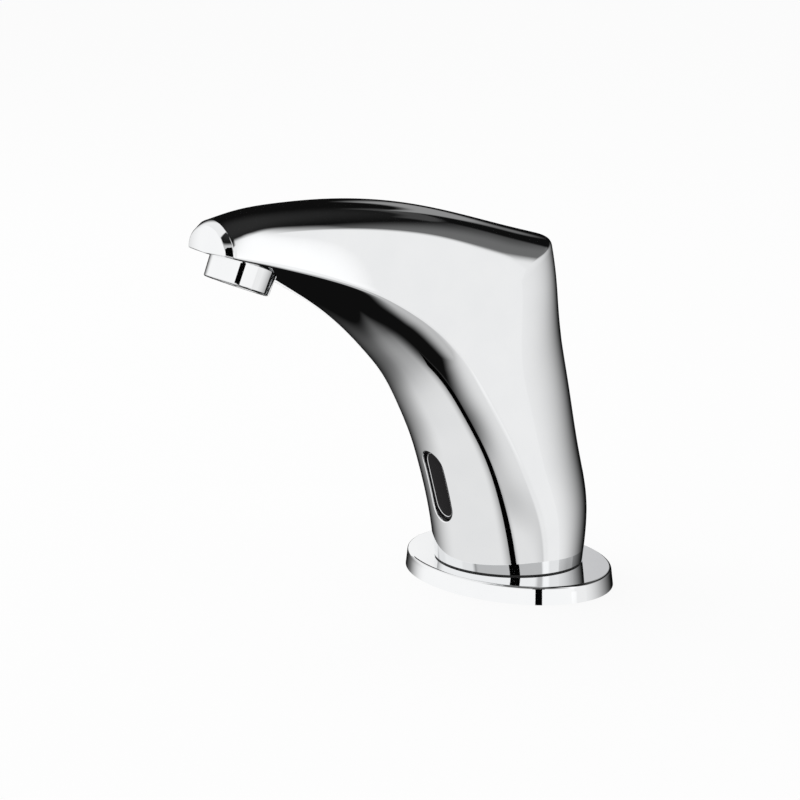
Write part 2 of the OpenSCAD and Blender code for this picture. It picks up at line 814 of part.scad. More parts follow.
module valve_body() {
    depth = valve_back + valve_front;
    axis_depth = riser_offset + valve_front * -1;
    color("goldenrod")
    difference() {
        at_valve()
            translate([0, 0, -depth])
                block(2 * valve_half_width, 2 * valve_half_height, depth);
        at_valve() {
            translate([0, 0, -annulus_depth])
                ring(annulus_radius, seat_radius + seat_wall, annulus_depth + overrun);
            translate([0, 0, -riser_offset + valve_front])
                cylinder(r = seat_radius, h = riser_offset - valve_front + overrun);
            translate([0, -(annulus_radius + seat_radius + seat_wall) / 2, -riser_offset + valve_front])
                cylinder(r = (annulus_radius - seat_radius - seat_wall) / 2 - fit, h = riser_offset);
            valve_screw_places()
                translate([0, 0, -valve_screw_reach])
                    cylinder(r = valve_screw_radius + fit, h = valve_screw_reach + overrun);
        }
        at_riser() {
            translate([0, 0, valve_axis - valve_half_height - overrun])
                cylinder(r = riser_diameter / 2 + fit, h = valve_socket + overrun);
            translate([0, 0, valve_axis - valve_half_height])
                cylinder(r = port_radius, h = valve_socket + seat_wall);
            translate([0, 0, valve_axis])
                cylinder(r = port_radius, h = valve_half_height);
            translate([0, 0, pipe_bottom])
                cylinder(r = outlet_pipe / 2 + fit, h = valve_socket + overrun);
            translate([0, 0, pipe_bottom + pipe_seal_place - slack])
                cylinder(r = outlet_pipe / 2 + pipe_seal_wire + 2 * fit, h = pipe_seal_wire + 2 * slack);
        }
    }
}

module valve_diaphragm() {
    color("black")
    at_valve()
        cylinder(r = annulus_radius + diaphragm_rim, h = diaphragm_height);
}

module diaphragm_insert() {
    color("white")
    at_valve()
        translate([0, 0, diaphragm_height])
            cylinder(r = insert_plate_radius, h = insert_plate_height);
}

module valve_bonnet() {
    color("dimgray")
    at_valve()
        difference() {
            block(2 * bonnet_half, 2 * bonnet_half, bonnet_height);
            translate([0, 0, -overrun])
                cylinder(r = annulus_radius + diaphragm_rim + fit, h = diaphragm_height + overrun);
            translate([0, 0, -overrun])
                cylinder(r = bonnet_chamber_radius, h = bonnet_height - bonnet_wall + overrun);
            cylinder(r = guide_radius + fit, h = bonnet_height + overrun);
            valve_screw_places()
                translate([0, 0, -overrun])
                    cylinder(r = valve_screw_radius + slack / 2, h = bonnet_height + 2 * overrun);
        }
}

module valve_screws() {
    color("silver")
    at_valve()
        valve_screw_places()
            translate([0, 0, -valve_screw_reach + slack])
                screw(valve_screw_radius, valve_screw_reach - slack + bonnet_height + chassis_thickness,
                    valve_screw_head, valve_screw_head_height);
}

// Solenoid, lengths measured forward from the valve's face
guide_radius = plunger_radius + plunger_fit + guide_wall;
plunger_back = diaphragm_height + insert_plate_height;
plunger_front = plunger_back + plunger_length;
core_back = plunger_front + plunger_spring_length;
coil_back = bonnet_height + chassis_thickness;
coil_front = coil_back + coil_length;

module plunger_guide() {
    color("lightsteelblue")
    at_valve() {
        translate([0, 0, bonnet_height - bonnet_wall])
            ring(guide_radius, plunger_radius + plunger_fit, coil_front - bonnet_height + bonnet_wall);
        translate([0, 0, bonnet_height - bonnet_wall - guide_wall])
            ring(guide_radius + guide_flange, plunger_radius + plunger_fit, guide_wall);
    }
}

module solenoid_plunger() {
    color("silver")
    at_valve()
        translate([0, 0, plunger_back])
            cylinder(r = plunger_radius, h = plunger_length);
}

module plunger_spring() {
    color("silver")
    at_valve()
        translate([0, 0, plunger_front])
            spring(plunger_radius - plunger_spring_wire, plunger_spring_wire,
                plunger_spring_turns, plunger_spring_length);
}

module solenoid_core() {
    color("slategray")
    at_valve() {
        translate([0, 0, core_back])
            cylinder(r = plunger_radius, h = coil_front - core_back);
        translate([0, 0, coil_front])
            cylinder(r = guide_radius, h = core_flange);
    }
}

module solenoid_coil() {
    color("sienna")
    at_valve()
        translate([0, 0, coil_back])
            difference() {
                union() {
                    cylinder(r = coil_radius - winding_inset, h = coil_length);
                    cylinder(r = coil_radius, h = bobbin_flange);
                    translate([0, 0, coil_length - bobbin_flange])
                        cylinder(r = coil_radius, h = bobbin_flange);
                }
                translate([0, 0, -overrun])
                    cylinder(r = guide_radius + fit, h = coil_length + 2 * overrun);
            }
}

module solenoid_yoke() {
    gap = 2 * coil_radius;
    color("gray")
    at_valve()
        difference() {
            union() {
                for (s = [-1, 1])
                    translate([s * (coil_radius + fit) - (s < 0 ? yoke_wall : 0), -coil_radius / 2, coil_back])
                        cube([yoke_wall, coil_radius, coil_length + core_flange]);
                translate([-coil_radius - fit, -coil_radius / 2, coil_front])
                    cube([gap + 2 * fit, coil_radius, core_flange]);
            }
            translate([0, 0, coil_front - overrun])
                cylinder(r = guide_radius + fit, h = core_flange + 2 * overrun);
        }
}

// Places and directions along the pipe, in its plane: forward and up
function pipe_course(steps) = concat(
    [[[-riser_offset, pipe_bottom], 90]],
    [for (k = [0 : steps]) let (turned = pipe_turn * k / steps)
        [[pipe_bend * (1 - cos(turned)) - riser_offset, pipe_bend_start + pipe_bend * sin(turned)],
            90 - turned]],
    [[pipe_meet - pipe_stop * [cos(pipe_rise_angle), sin(pipe_rise_angle)], pipe_rise_angle]]);

function pipe_ring(place, rise, radius, sides) = [for (j = [0 : sides - 1])
    let (across = radius * cos(360 * j / sides), up = radius * sin(360 * j / sides))
    [across, up * sin(rise) - place[0], place[1] + up * cos(rise)]];

module outlet_pipe_tube() {
    sides = 32;
    course = pipe_course(10);
    rings = len(course);
    inner_first = rings * sides;
    color("whitesmoke")
    above_foot()
        polyhedron(
            points = [for (radius = [outlet_pipe / 2, outlet_pipe / 2 - pipe_wall], c = course,
                p = pipe_ring(c[0], c[1], radius, sides)) p],
            faces = concat(
                band_faces(rings, sides, 0, true),
                band_faces(rings, sides, inner_first, false),
                [for (end = [0, rings - 1], j = [0 : sides - 1], s = [0, 1])
                    let (a = end * sides + j, b = end * sides + (j + 1) % sides,
                        c = inner_first + a, d = inner_first + b,
                        face = s == 0 ? [a, b, d] : [a, d, c])
                    end == 0 ? face : [face[2], face[1], face[0]]]),
            convexity = 6);
}

module pipe_seals() {
    middle = outlet_pipe / 2 + fit + pipe_seal_wire / 2;
    color("black") {
        at_pipe_end()
            translate([0, 0, pipe_stop + pipe_seal_place + slack + pipe_seal_wire / 2])
                seal_ring(middle, pipe_seal_wire);
        at_riser()
            translate([0, 0, pipe_bottom + pipe_seal_place + pipe_seal_wire / 2])
                seal_ring(middle, pipe_seal_wire);
    }
}

// Chassis, between the valve and the sensor, with its foot on the base plate
chassis_y = valve_front - bonnet_height;
chassis_front_y = chassis_y - chassis_thickness;
chassis_screw_y = chassis_front_y - chassis_foot / 2;
holder_bottom = valve_axis + valve_screw_offset + valve_screw_head + slack;
holder_height = battery_height + 2 * battery_slack + 2 * holder_wall;
holder_width = battery_width + 2 * battery_slack + 2 * holder_wall;
holder_depth = battery_thickness + 2 * battery_slack + holder_wall;

module chassis() {
    color("lightslategray")
    difference() {
        above_foot() {
            translate([-chassis_half_width, chassis_front_y, base_height])
                cube([2 * chassis_half_width, chassis_thickness, holder_bottom + holder_height - base_height]);
            translate([-chassis_half_width, chassis_front_y - chassis_foot, base_height])
                cube([2 * chassis_half_width, chassis_foot + overrun, chassis_thickness]);
        }
        at_valve() {
            translate([0, 0, bonnet_height - overrun])
                cylinder(r = guide_radius + slack, h = chassis_thickness + 2 * overrun);
            valve_screw_places()
                translate([0, 0, bonnet_height - overrun])
                    cylinder(r = valve_screw_radius + slack / 2, h = chassis_thickness + 2 * overrun);
        }
        above_foot()
            for (s = [-1, 1])
                translate([s * chassis_screw_offset, chassis_screw_y, base_height - overrun])
                    cylinder(r = chassis_screw_radius + slack / 2, h = chassis_thickness + 2 * overrun);
    }
}

module chassis_screws() {
    color("silver")
    above_foot()
        for (s = [-1, 1])
            translate([s * chassis_screw_offset, chassis_screw_y, base_height - chassis_screw_reach + slack])
                screw(chassis_screw_radius, chassis_screw_reach - slack + chassis_thickness,
                    chassis_screw_head, chassis_screw_head_height);
}

module battery_holder() {
    color("dimgray")
    above_foot()
        translate([0, chassis_front_y - holder_depth / 2, holder_bottom])
            difference() {
                block(holder_width, holder_depth, holder_height);
                translate([0, -holder_wall - overrun / 2, holder_wall])
                    block(holder_width - 2 * holder_wall, holder_depth + overrun, holder_height - 2 * holder_wall);
                translate([0, -holder_depth / 2, holder_wall + holder_lip])
                    block(holder_width + overrun, 2 * holder_lip, holder_height - 2 * holder_wall - 2 * holder_lip);
            }
}

module battery() {
    color("olivedrab")
    above_foot()
        translate([0, chassis_front_y - holder_wall - battery_slack - battery_thickness / 2,
            holder_bottom + holder_wall + battery_slack])
            linear_extrude(height = battery_height)
                rotate([0, 0, 90])
                    stadium(battery_thickness, battery_width);
}

// Sensor, depths measured into the body from the middle of the window
lens_flange_back = seat_depth + sensor_gasket_height + lens_flange_height;
sensor_back = lens_flange_back + sensor_depth;
board_front = sensor_back - board_drop - board_height;
sensor_width = window_width + 2 * lens_flange;
sensor_height = window_height + 2 * lens_flange;

module sensor_lens() {
    color([0.08, 0.05, 0.06])
    at_window() {
        translate([0, 0, window_recess])
            linear_extrude(height = seat_depth + sensor_gasket_height - window_recess)
                stadium(window_width - 2 * lens_slack, window_height - 2 * lens_slack);
        translate([0, 0, seat_depth + sensor_gasket_height])
            linear_extrude(height = lens_flange_height)
                stadium(sensor_width, sensor_height);
    }
}

module sensor_gasket() {
    color("black")
    at_window()
        translate([0, 0, seat_depth])
            linear_extrude(height = sensor_gasket_height)
                difference() {
                    stadium(sensor_width, sensor_height);
                    stadium(window_width, window_height);
                }
}

module sensor_housing() {
    inner = sensor_width - 2 * sensor_wall;
    inner_height = sensor_height - 2 * sensor_wall;
    color("dimgray")
    at_window()
        difference() {
            union() {
                translate([0, 0, lens_flange_back])
                    linear_extrude(height = sensor_depth)
                        stadium(sensor_width, sensor_height);
                for (s = [-1, 1]) {
                    translate([0, s * sensor_screw_offset, seat_depth + slack])
                        cylinder(r = ear_radius - slack, h = lens_flange_back + ear_height - seat_depth - slack);
                    translate([0, s * (sensor_screw_offset - ear_radius), lens_flange_back])
                        block(2 * ear_radius - 2 * slack, 2 * ear_radius, ear_height);
                }
            }
            translate([0, 0, lens_flange_back - overrun])
                linear_extrude(height = sensor_depth + 2 * overrun)
                    stadium(inner - 2 * ledge_width, inner_height - 2 * ledge_width);
            translate([0, 0, lens_flange_back - overrun])
                linear_extrude(height = board_front - ledge_height - lens_flange_back + overrun)
                    stadium(inner, inner_height);
            translate([0, 0, board_front])
                linear_extrude(height = sensor_depth)
                    stadium(inner, inner_height);
            for (s = [-1, 1])
                translate([0, s * sensor_screw_offset, 0])
                    cylinder(r = sensor_screw_radius + slack / 2, h = sensor_back);
        }
}

module sensor_screws() {
    length = sensor_screw_reach - slack + lens_flange_back + ear_height - seat_depth;
    color("silver")
    at_window()
        for (s = [-1, 1])
            translate([0, s * sensor_screw_offset, seat_depth - sensor_screw_reach + slack])
                screw(sensor_screw_radius, length, sensor_screw_head, sensor_screw_head_height);
}

module sensor_board() {
    color("darkgreen")
    at_window() {
        translate([0, 0, board_front])
            linear_extrude(height = board_height)
                stadium(sensor_width - 2 * sensor_wall - slack, sensor_height - 2 * sensor_wall - slack);
        for (s = [-1, 0, 1])
            translate([s * chip_side, s * chip_spacing, board_front + board_height])
                block(chip_width, chip_length, board_drop / 2);
    }
}

module infrared_emitter() {
    color("lightsteelblue")
    at_window()
        translate([0, -eye_offset, board_front]) {
            translate([0, 0, emitter_radius - emitter_height])
                cylinder(r = emitter_radius, h = emitter_height - emitter_radius);
            translate([0, 0, emitter_radius - emitter_height])
                sphere(r = emitter_radius);
            translate([0, 0, -emitter_flange_height])
                cylinder(r = emitter_radius + emitter_flange, h = emitter_flange_height);
        }
}

module infrared_receiver() {
    color("midnightblue")
    at_window()
        translate([0, eye_offset, board_front - receiver_depth]) {
            block(receiver_width, receiver_height, receiver_depth);
            sphere(r = receiver_lens_radius);
        }
}

gland_wall = 1;
gland_radius = lead_radius + gland_wall;
gland_height = 1.5;
gland_side = 5;
gland_drop = -10;

module sensor_cover() {
    color("black")
    at_window()
        translate([0, 0, sensor_back])
            difference() {
                union() {
                    linear_extrude(height = cover_height)
                        stadium(sensor_width, sensor_height);
                    for (s = [-1, 1])
                        translate([s * gland_side, gland_drop, 0])
                            cylinder(r = gland_radius, h = cover_height + gland_height);
                }
                for (s = [-1, 1])
                    translate([s * gland_side, gland_drop, -overrun])
                        cylinder(r = lead_radius + fit, h = cover_height + gland_height + 2 * overrun);
            }
}

// A point of the window's frame, in the body's frame above the foot
function window_place(x, y, z) = [x,
    z * cos(window_tilt) + y * sin(window_tilt) - window_point[0],
    window_point[1] + z * sin(window_tilt) - y * cos(window_tilt)];

lead_out_run = 0.5;
lead_turn_run = 2;
lead_start = sensor_back + cover_height;
lead_out = lead_start + gland_height + lead_out_run;
lead_turn = lead_out + lead_turn_run;
coil_lead_share = 0.7;
coil_lead_y = chassis_front_y - coil_length * coil_lead_share;
coil_lead_z = valve_axis - coil_radius;
coil_lead_drop = 6;
coil_lead_rise = 3;
coil_lead_side = 2;
coil_lead_back = 4;
battery_lead_x = 13;
battery_lead_front = 4;
battery_lead_y = chassis_front_y - battery_lead_front;

module sensor_lead() {
    color("black")
    above_foot()
        lead([window_place(-gland_side, gland_drop, lead_start),
            window_place(-gland_side, gland_drop, lead_out),
            window_place(-gland_side, gland_drop, lead_turn),
            [-gland_side, coil_lead_y + coil_lead_back, coil_lead_z - coil_lead_drop],
            [-coil_lead_side, coil_lead_y, coil_lead_z - coil_lead_rise],
            [0, coil_lead_y, coil_lead_z]], lead_radius);
}

module battery_lead() {
    color("red")
    above_foot()
        lead([window_place(gland_side, gland_drop, lead_start),
            window_place(gland_side, gland_drop, lead_out),
            window_place(gland_side, gland_drop, lead_turn),
            [battery_lead_x, battery_lead_y, valve_axis - coil_radius],
            [battery_lead_x, battery_lead_y, valve_axis],
            [battery_lead_x, battery_lead_y, holder_bottom]], lead_radius);
}

// Aerator, lengths measured out of the spout along the outlet's axis
collar_radius = collar_diameter / 2;
collar_bore = outlet_thread / 2 - collar_wall;
collar_inside = collar_height - collar_lip;
insert_radius = collar_bore - insert_fit;

module aerator_collar() {
    color("gainsboro")
    at_outlet()
        rotate_extrude()
            polygon([
                [collar_bore, -collar_seat - thread_length],
                [outlet_thread / 2 - fit, -collar_seat - thread_length],
                [outlet_thread / 2 - fit, slack - collar_seat],
                [collar_radius - collar_chamfer / 2, slack - collar_seat],
                [collar_radius, slack - collar_seat + collar_chamfer / 2],
                [collar_radius - collar_taper, collar_height - collar_chamfer],
                [collar_radius - collar_taper - collar_chamfer, collar_height],
                [collar_bore - collar_lip, collar_height],
                [collar_bore - collar_lip, collar_inside],
                [collar_bore, collar_inside]]);
}

module lattice(radius, bar, gap, height) {
    count = ceil(radius / (bar + gap));
    intersection() {
        cylinder(r = radius, h = height);
        union()
            for (k = [-count : count]) {
                translate([k * (bar + gap), 0, 0])
                    block(bar, 2 * radius, height);
                translate([0, k * (bar + gap), 0])
                    block(2 * radius, bar, height);
            }
    }
}

module aerator_insert() {
    color("whitesmoke")
    at_outlet()
        translate([0, 0, collar_inside - insert_fit - insert_height]) {
            ring(insert_radius, insert_radius - insert_wall, insert_height);
            translate([0, 0, insert_height - 2 * insert_wall])
                lattice(insert_radius - insert_wall + fit, insert_bar, insert_bar_gap, 2 * insert_wall);
        }
}

module aerator_screen() {
    bottom = collar_inside - insert_fit - insert_height;
    color("silver")
    at_outlet()
        translate([0, 0, bottom - screen_height]) {
            ring(insert_radius, insert_radius - insert_wall, screen_height);
            lattice(insert_radius - insert_wall + fit, screen_wire, screen_gap, screen_height);
        }
}

module aerator_washer() {
    color("black")
    at_outlet()
        translate([0, 0, -collar_seat - thread_length - washer_height])
            ring(outlet_thread / 2 - 2 * fit, washer_inner, washer_height);
}

tap_body();
deck_plate();
deck_gasket();
foot_gasket();
base_plate();
base_screws();
inlet_union();
inlet_seal();
inlet_filter();
check_valve_cage();
check_valve_poppet();
check_valve_spring();
check_valve_cap();
riser_pipe();
valve_body();
valve_diaphragm();
diaphragm_insert();
valve_bonnet();
valve_screws();
plunger_guide();
solenoid_plunger();
plunger_spring();
solenoid_core();
solenoid_coil();
solenoid_yoke();
outlet_pipe_tube();
pipe_seals();
chassis();
chassis_screws();
battery_holder();
battery();
sensor_lens();
sensor_gasket();
sensor_housing();
sensor_screws();
sensor_board();
infrared_emitter();
infrared_receiver();
sensor_cover();
sensor_lead();
battery_lead();
aerator_collar();
aerator_insert();
aerator_screen();
aerator_washer();
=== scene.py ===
"""A sensor tap in polished chrome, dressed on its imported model. Lengths are in metres."""

import json
import math

import bmesh
import bpy
import numpy as np
from mathutils import Matrix, Vector
from mathutils.bvhtree import BVHTree


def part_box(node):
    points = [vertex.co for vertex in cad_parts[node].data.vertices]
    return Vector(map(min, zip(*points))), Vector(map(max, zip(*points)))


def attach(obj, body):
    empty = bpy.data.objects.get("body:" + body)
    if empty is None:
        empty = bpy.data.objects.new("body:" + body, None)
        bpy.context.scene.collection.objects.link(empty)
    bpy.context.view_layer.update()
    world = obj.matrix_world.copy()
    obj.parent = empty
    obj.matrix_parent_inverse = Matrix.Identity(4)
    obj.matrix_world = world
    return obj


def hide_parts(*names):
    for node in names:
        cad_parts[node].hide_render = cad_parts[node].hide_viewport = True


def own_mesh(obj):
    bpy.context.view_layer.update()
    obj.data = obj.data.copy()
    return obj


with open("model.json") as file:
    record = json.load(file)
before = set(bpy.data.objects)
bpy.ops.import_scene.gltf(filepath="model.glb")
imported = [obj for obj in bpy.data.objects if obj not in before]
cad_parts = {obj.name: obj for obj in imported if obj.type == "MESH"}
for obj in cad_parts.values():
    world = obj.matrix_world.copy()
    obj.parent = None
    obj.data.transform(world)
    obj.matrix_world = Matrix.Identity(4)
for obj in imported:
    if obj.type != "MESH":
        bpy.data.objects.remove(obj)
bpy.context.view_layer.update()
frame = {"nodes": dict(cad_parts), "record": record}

MM = 0.001

# Sizes read from the model
plate_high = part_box("deck_plate")[1]
gasket_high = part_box("foot_gasket")[1]
spring_low, spring_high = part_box("plunger_spring")
check_low, check_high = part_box("check_valve_spring")
coil_low, coil_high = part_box("solenoid_coil")

# How far a cutting tool reaches past what it cuts
OVERRUN = 1 * MM

FOOT_GASKET_INSET = 0.4 * MM
FOOT_LEVEL = gasket_high.z
FOOT_HALF_WIDTH = gasket_high.x + FOOT_GASKET_INSET
FOOT_HALF_DEPTH = gasket_high.y + FOOT_GASKET_INSET
BODY_HEIGHT = 164.2 * MM
SPOUT_REACH = 150 * MM
NOSE_WIDTH = 33.2 * MM
NOSE_LENGTH = 5 * MM
NOSE_SQUARE = 3
NOSE_CORNER = 3.4 * MM
NOSE_CORNER_TURN = math.radians(59.5)
NOSE_EDGE = 0.5 * MM
NOSE_ROUND = 0.4 * MM
NOSE_DROP_SHARE = 0.18
BODY_WALL = 3 * MM

PLATE_DRAFT = 0.75 * MM
PLATE_ROUND = 1.2 * MM
PLATE_WALL = 2.6 * MM
PLATE_RIB = 4 * MM
PLATE_HOLE_RADIUS = 21 * MM

WINDOW_WIDTH = 14 * MM
WINDOW_HEIGHT = 33 * MM
WINDOW_RECESS = 1.5 * MM
WINDOW_BEVEL = 0.55 * MM
WINDOW_STATION = 2
WINDOW_CUT_START = -4 * MM
RAY_START = -20 * MM
LENS_SLACK = 0.2 * MM
LENS_ROUND = 0.35 * MM
LENS_FLANGE = 3.5 * MM
LENS_FLANGE_HEIGHT = 1.5 * MM
SEAT_DEPTH = 7.5 * MM
SENSOR_GASKET_HEIGHT = 0.8 * MM
BOSS_FRONT = 2.2 * MM
BOSS_HALF_WIDTH = 11 * MM
BOSS_HALF_HEIGHT = 28 * MM
SENSOR_SCREW_OFFSET = 24 * MM
SENSOR_SCREW_HOLE = 1.5 * MM
SENSOR_SCREW_REACH = 4.3 * MM

BEZEL_INSET = 1.5 * MM
BEZEL_FLAT = 0.08 * MM
BEZEL_WIDTH = 0.24 * MM
BEZEL_HEIGHT = 0.12 * MM
BEZEL_FOOT = 0.05 * MM

PLUNGER_WIRE = 0.5 * MM
PLUNGER_TURNS = 4
CHECK_WIRE = 0.6 * MM
CHECK_TURNS = 3
BOBBIN_BORE = 3.76 * MM
BOBBIN_FLANGE = 1.2 * MM
WINDING_INSET = 1.4 * MM
WINDING_WIRE = 0.5 * MM
SCREEN_RADIUS = 10.42 * MM
SCREEN_RIM = 1.2 * MM
SCREEN_HEIGHT = 0.8 * MM
SCREEN_LEVEL = -5.88 * MM
SCREEN_WIRE = 0.38 * MM
SCREEN_GAP = 1.0 * MM

OUTLET_STATION = 11
COLLAR_RADIUS = 14 * MM
COLLAR_HEIGHT = 8.5 * MM
COLLAR_SEAT = 2 * MM
COLLAR_TAPER = 0.3 * MM
COLLAR_ROUND = 0.8 * MM
COLLAR_TOP_ROUND = 0.4 * MM
COLLAR_CUT_END = 4 * MM
COLLAR_LIP = 1 * MM
LIP_ROUND = 0.3 * MM
COLLAR_BORE = 10.5 * MM
OUTLET_THREAD_RADIUS = 12 * MM
THREAD_LENGTH = 7 * MM
THREAD_SLACK = 0.05 * MM
WASHER_HEIGHT = 1.8 * MM
CHAMBER_RADIUS = 8 * MM
CHAMBER_HEIGHT = 4.2 * MM
SLACK = 0.3 * MM

BASE_SCREW_OFFSET = 27.5 * MM
BASE_BOSS_RADIUS = 5 * MM
BASE_BOSS_HEIGHT = 11 * MM
BASE_HEIGHT = 8 * MM
BASE_SCREW_HOLE = 2 * MM
BASE_SCREW_REACH = 7.3 * MM

# The body's sections from the foot to the nose, as in the model's source. Each row: front
# reach, front height, back reach, back height, width, level of the widest place, keel pull,
# crease pull outwards, crease pull up, side pull, crown pull.
STATION_SHARES = np.array([
    [0.000, 0.000, 0.000, 0.000, 1.000, 0.500, 0.55, 1.00, 0.45, 0.55, 0.55],
    [0.023, 0.110, -0.013, 0.155, 1.000, 0.490, 0.58, 1.00, 0.44, 0.55, 0.56],
    [0.055, 0.219, 0.011, 0.305, 0.928, 0.430, 0.60, 1.00, 0.42, 0.58, 0.60],
    [0.100, 0.323, 0.039, 0.475, 0.822, 0.360, 0.62, 1.00, 0.40, 0.64, 0.64],
    [0.167, 0.422, 0.063, 0.621, 0.722, 0.300, 0.61, 0.98, 0.40, 0.70, 0.68],
    [0.246, 0.513, 0.081, 0.743, 0.628, 0.260, 0.57, 0.95, 0.42, 0.84, 0.76],
    [0.339, 0.590, 0.099, 0.860, 0.544, 0.240, 0.52, 0.91, 0.45, 0.92, 0.80],
    [0.434, 0.658, 0.239, 0.904, 0.467, 0.235, 0.47, 0.86, 0.48, 0.92, 0.80],
    [0.537, 0.720, 0.432, 0.963, 0.378, 0.230, 0.42, 0.82, 0.50, 0.90, 0.78],
    [0.642, 0.771, 0.625, 0.995, 0.267, 0.210, 0.40, 0.80, 0.50, 0.82, 0.74],
    [0.747, 0.816, 0.779, 1.000, 0.156, 0.170, 0.40, 0.80, 0.50, 0.76, 0.70],
    [0.853, 0.855, 0.890, 0.994, 0.067, 0.110, 0.40, 0.80, 0.50, 0.68, 0.66],
    [0.962, 0.887, 0.975, 0.977, 0.000, 0.050, 0.40, 0.80, 0.50, 0.56, 0.56],
])
LAST_STATION = len(STATION_SHARES) - 1
CORNER_STATION = 6
CORNER_SPAN = 0.09
# Span over which the same corner is rounded for the faces in front of it
FACE_SPAN = 0.8
CREASE_ROUND = 0.9 * MM
# The largest share of a curve that the crease's rounding may take
CREASE_MOST = 0.4
# Width of the narrow band beside a rounded edge, which keeps the shading of the flat face flat
HOLD = 0.05 * MM
CREASE_STEPS = 5

# Steps of the meshes
PER_STATION = 12
CORNER_STEPS = 6
KEEL_STEPS = 26
SIDE_STEPS = 56
NOSE_STEPS = 18
CAVITY_END = 9.6
CAVITY_STEPS = 60
CAVITY_KEEL_STEPS = 8
CAVITY_SIDE_STEPS = 16
RIM_STEPS = 14
LENS_STEPS = 6
PLATE_SIDES = 288
DRAFT_STEPS = 4
PLATE_ROUND_STEPS = 12
SCREW_SIDES = 32
OUTLET_SIDES = 128
BOBBIN_SIDES = 96
COIL_STEPS = 28
WIRE_SIDES = 8

# The photograph's camera, in the row's frame
CAMERA_PLACE = Vector((0.93716, -0.67713, 0.33344))
CAMERA_AZIMUTH = math.radians(56.5)
CAMERA_ELEVATION = math.radians(12.5)
CAMERA_LENS = 122.99
CAMERA_SENSOR = 36

# The studio
EVEN_LIGHT = 0.8
FLOOR_HALF = 25
FLOOR_WHITE = 0.88
CARD_WIDTH = 0.19
CARD_TOP_WIDTH = 0.36
CARD_LOW = -1.5
CARD_STEP = 0.15
CARD_HIGH = 0.9
CARD_BEHIND = 0.1
PLATE_CARD_BEHIND = 0.16
PLATE_CARD_START = -0.15
PLATE_CARD_LEFT = -0.05
PLATE_CARD_RIGHT = 0.06
PLATE_CARD_END = 0.066
PLATE_CARD_LOW = 0.01
PLATE_CARD_HIGH = 0.076
PLATE_CARD_BRIGHT = (1.0, 1.0, 1.0)
PLATE_CARD_DIM = (0.6, 0.6, 0.61)
LAMP_PLACE = (-0.9, -0.5, 1.6)
LAMP_SIZE = 1.2
LAMP_POWER = 9
GRAIN_DEPTH = 0.05 * MM


def station_rows():
    """The body's stations in metres: front point, back point, half width, then the shares."""
    shares = STATION_SHARES
    rows = shares.copy()
    rows[:, 0] = FOOT_HALF_DEPTH + (SPOUT_REACH - FOOT_HALF_DEPTH) * shares[:, 0]
    rows[:, 1] = FOOT_LEVEL + BODY_HEIGHT * shares[:, 1]
    rows[:, 2] = (SPOUT_REACH + FOOT_HALF_DEPTH) * shares[:, 2] - FOOT_HALF_DEPTH
    rows[:, 3] = FOOT_LEVEL + BODY_HEIGHT * shares[:, 3]
    rows[:, 4] = NOSE_WIDTH / 2 + (FOOT_HALF_WIDTH - NOSE_WIDTH / 2) * shares[:, 4]
    return rows


ROWS = station_rows()


def curve_bends(values):
    """Second derivatives of a natural cubic curve through values at whole numbers."""
    count = len(values)
    system = np.zeros((count, count))
    right = np.zeros_like(values)
    system[0, 0] = system[-1, -1] = 1
    for k in range(1, count - 1):
        system[k, k - 1:k + 2] = 1, 4, 1
        right[k] = 6 * (values[k - 1] - 2 * values[k] + values[k + 1])
    return np.linalg.solve(system, right)


BENDS = curve_bends(ROWS)
BACK_LOWER = ROWS[:CORNER_STATION + 1, 2:4]
BACK_UPPER = ROWS[CORNER_STATION:, 2:4]
BACK_LOWER_BENDS = curve_bends(BACK_LOWER)
BACK_UPPER_BENDS = curve_bends(BACK_UPPER)


def curve_place(values, bends, t):
    """A place on the natural cubic curve through the values."""
    k = min(int(t), len(values) - 2)
    f = t - k
    g = 1 - f
    return (g * values[k] + f * values[k + 1]
            + ((g ** 3 - g) * bends[k] + (f ** 3 - f) * bends[k + 1]) / 6)


def back_place(t):
    """A place on the back, which turns a corner into the top."""
    if t <= CORNER_STATION:
        return curve_place(BACK_LOWER, BACK_LOWER_BENDS, t)
    return curve_place(BACK_UPPER, BACK_UPPER_BENDS, t - CORNER_STATION)


def rounded_back(t, span):
    """A place on the back with its corner rounded over a span."""
    share = (t - CORNER_STATION + span) / (2 * span)
    if not 0 < share < 1:
        return back_place(t)
    return (back_place(CORNER_STATION - span) * (1 - share) ** 2
            + back_place(CORNER_STATION) * 2 * share * (1 - share)
            + back_place(CORNER_STATION + span) * share ** 2)


def station(t):
    """The body's section at any place along the arch, with the back that its faces lean on."""
    row = curve_place(ROWS, BENDS, t)
    row[2:4] = rounded_back(t, CORNER_SPAN)
    return np.append(row, rounded_back(t, FACE_SPAN))


OUTLET_TILT = math.atan2(ROWS[OUTLET_STATION + 1][1] - ROWS[OUTLET_STATION][1],
                         ROWS[OUTLET_STATION + 1][0] - ROWS[OUTLET_STATION][0])
WINDOW_TILT = math.atan2(ROWS[WINDOW_STATION + 1][0] - ROWS[WINDOW_STATION - 1][0],
                         ROWS[WINDOW_STATION + 1][1] - ROWS[WINDOW_STATION - 1][1])


def bezier(points, t):
    """Places on the cubic curve with these four control points."""
    a, b, c, d = (np.array(p) for p in points)
    t = t[:, None]
    return a * (1 - t) ** 3 + 3 * b * t * (1 - t) ** 2 + 3 * c * t * t * (1 - t) + d * t ** 3


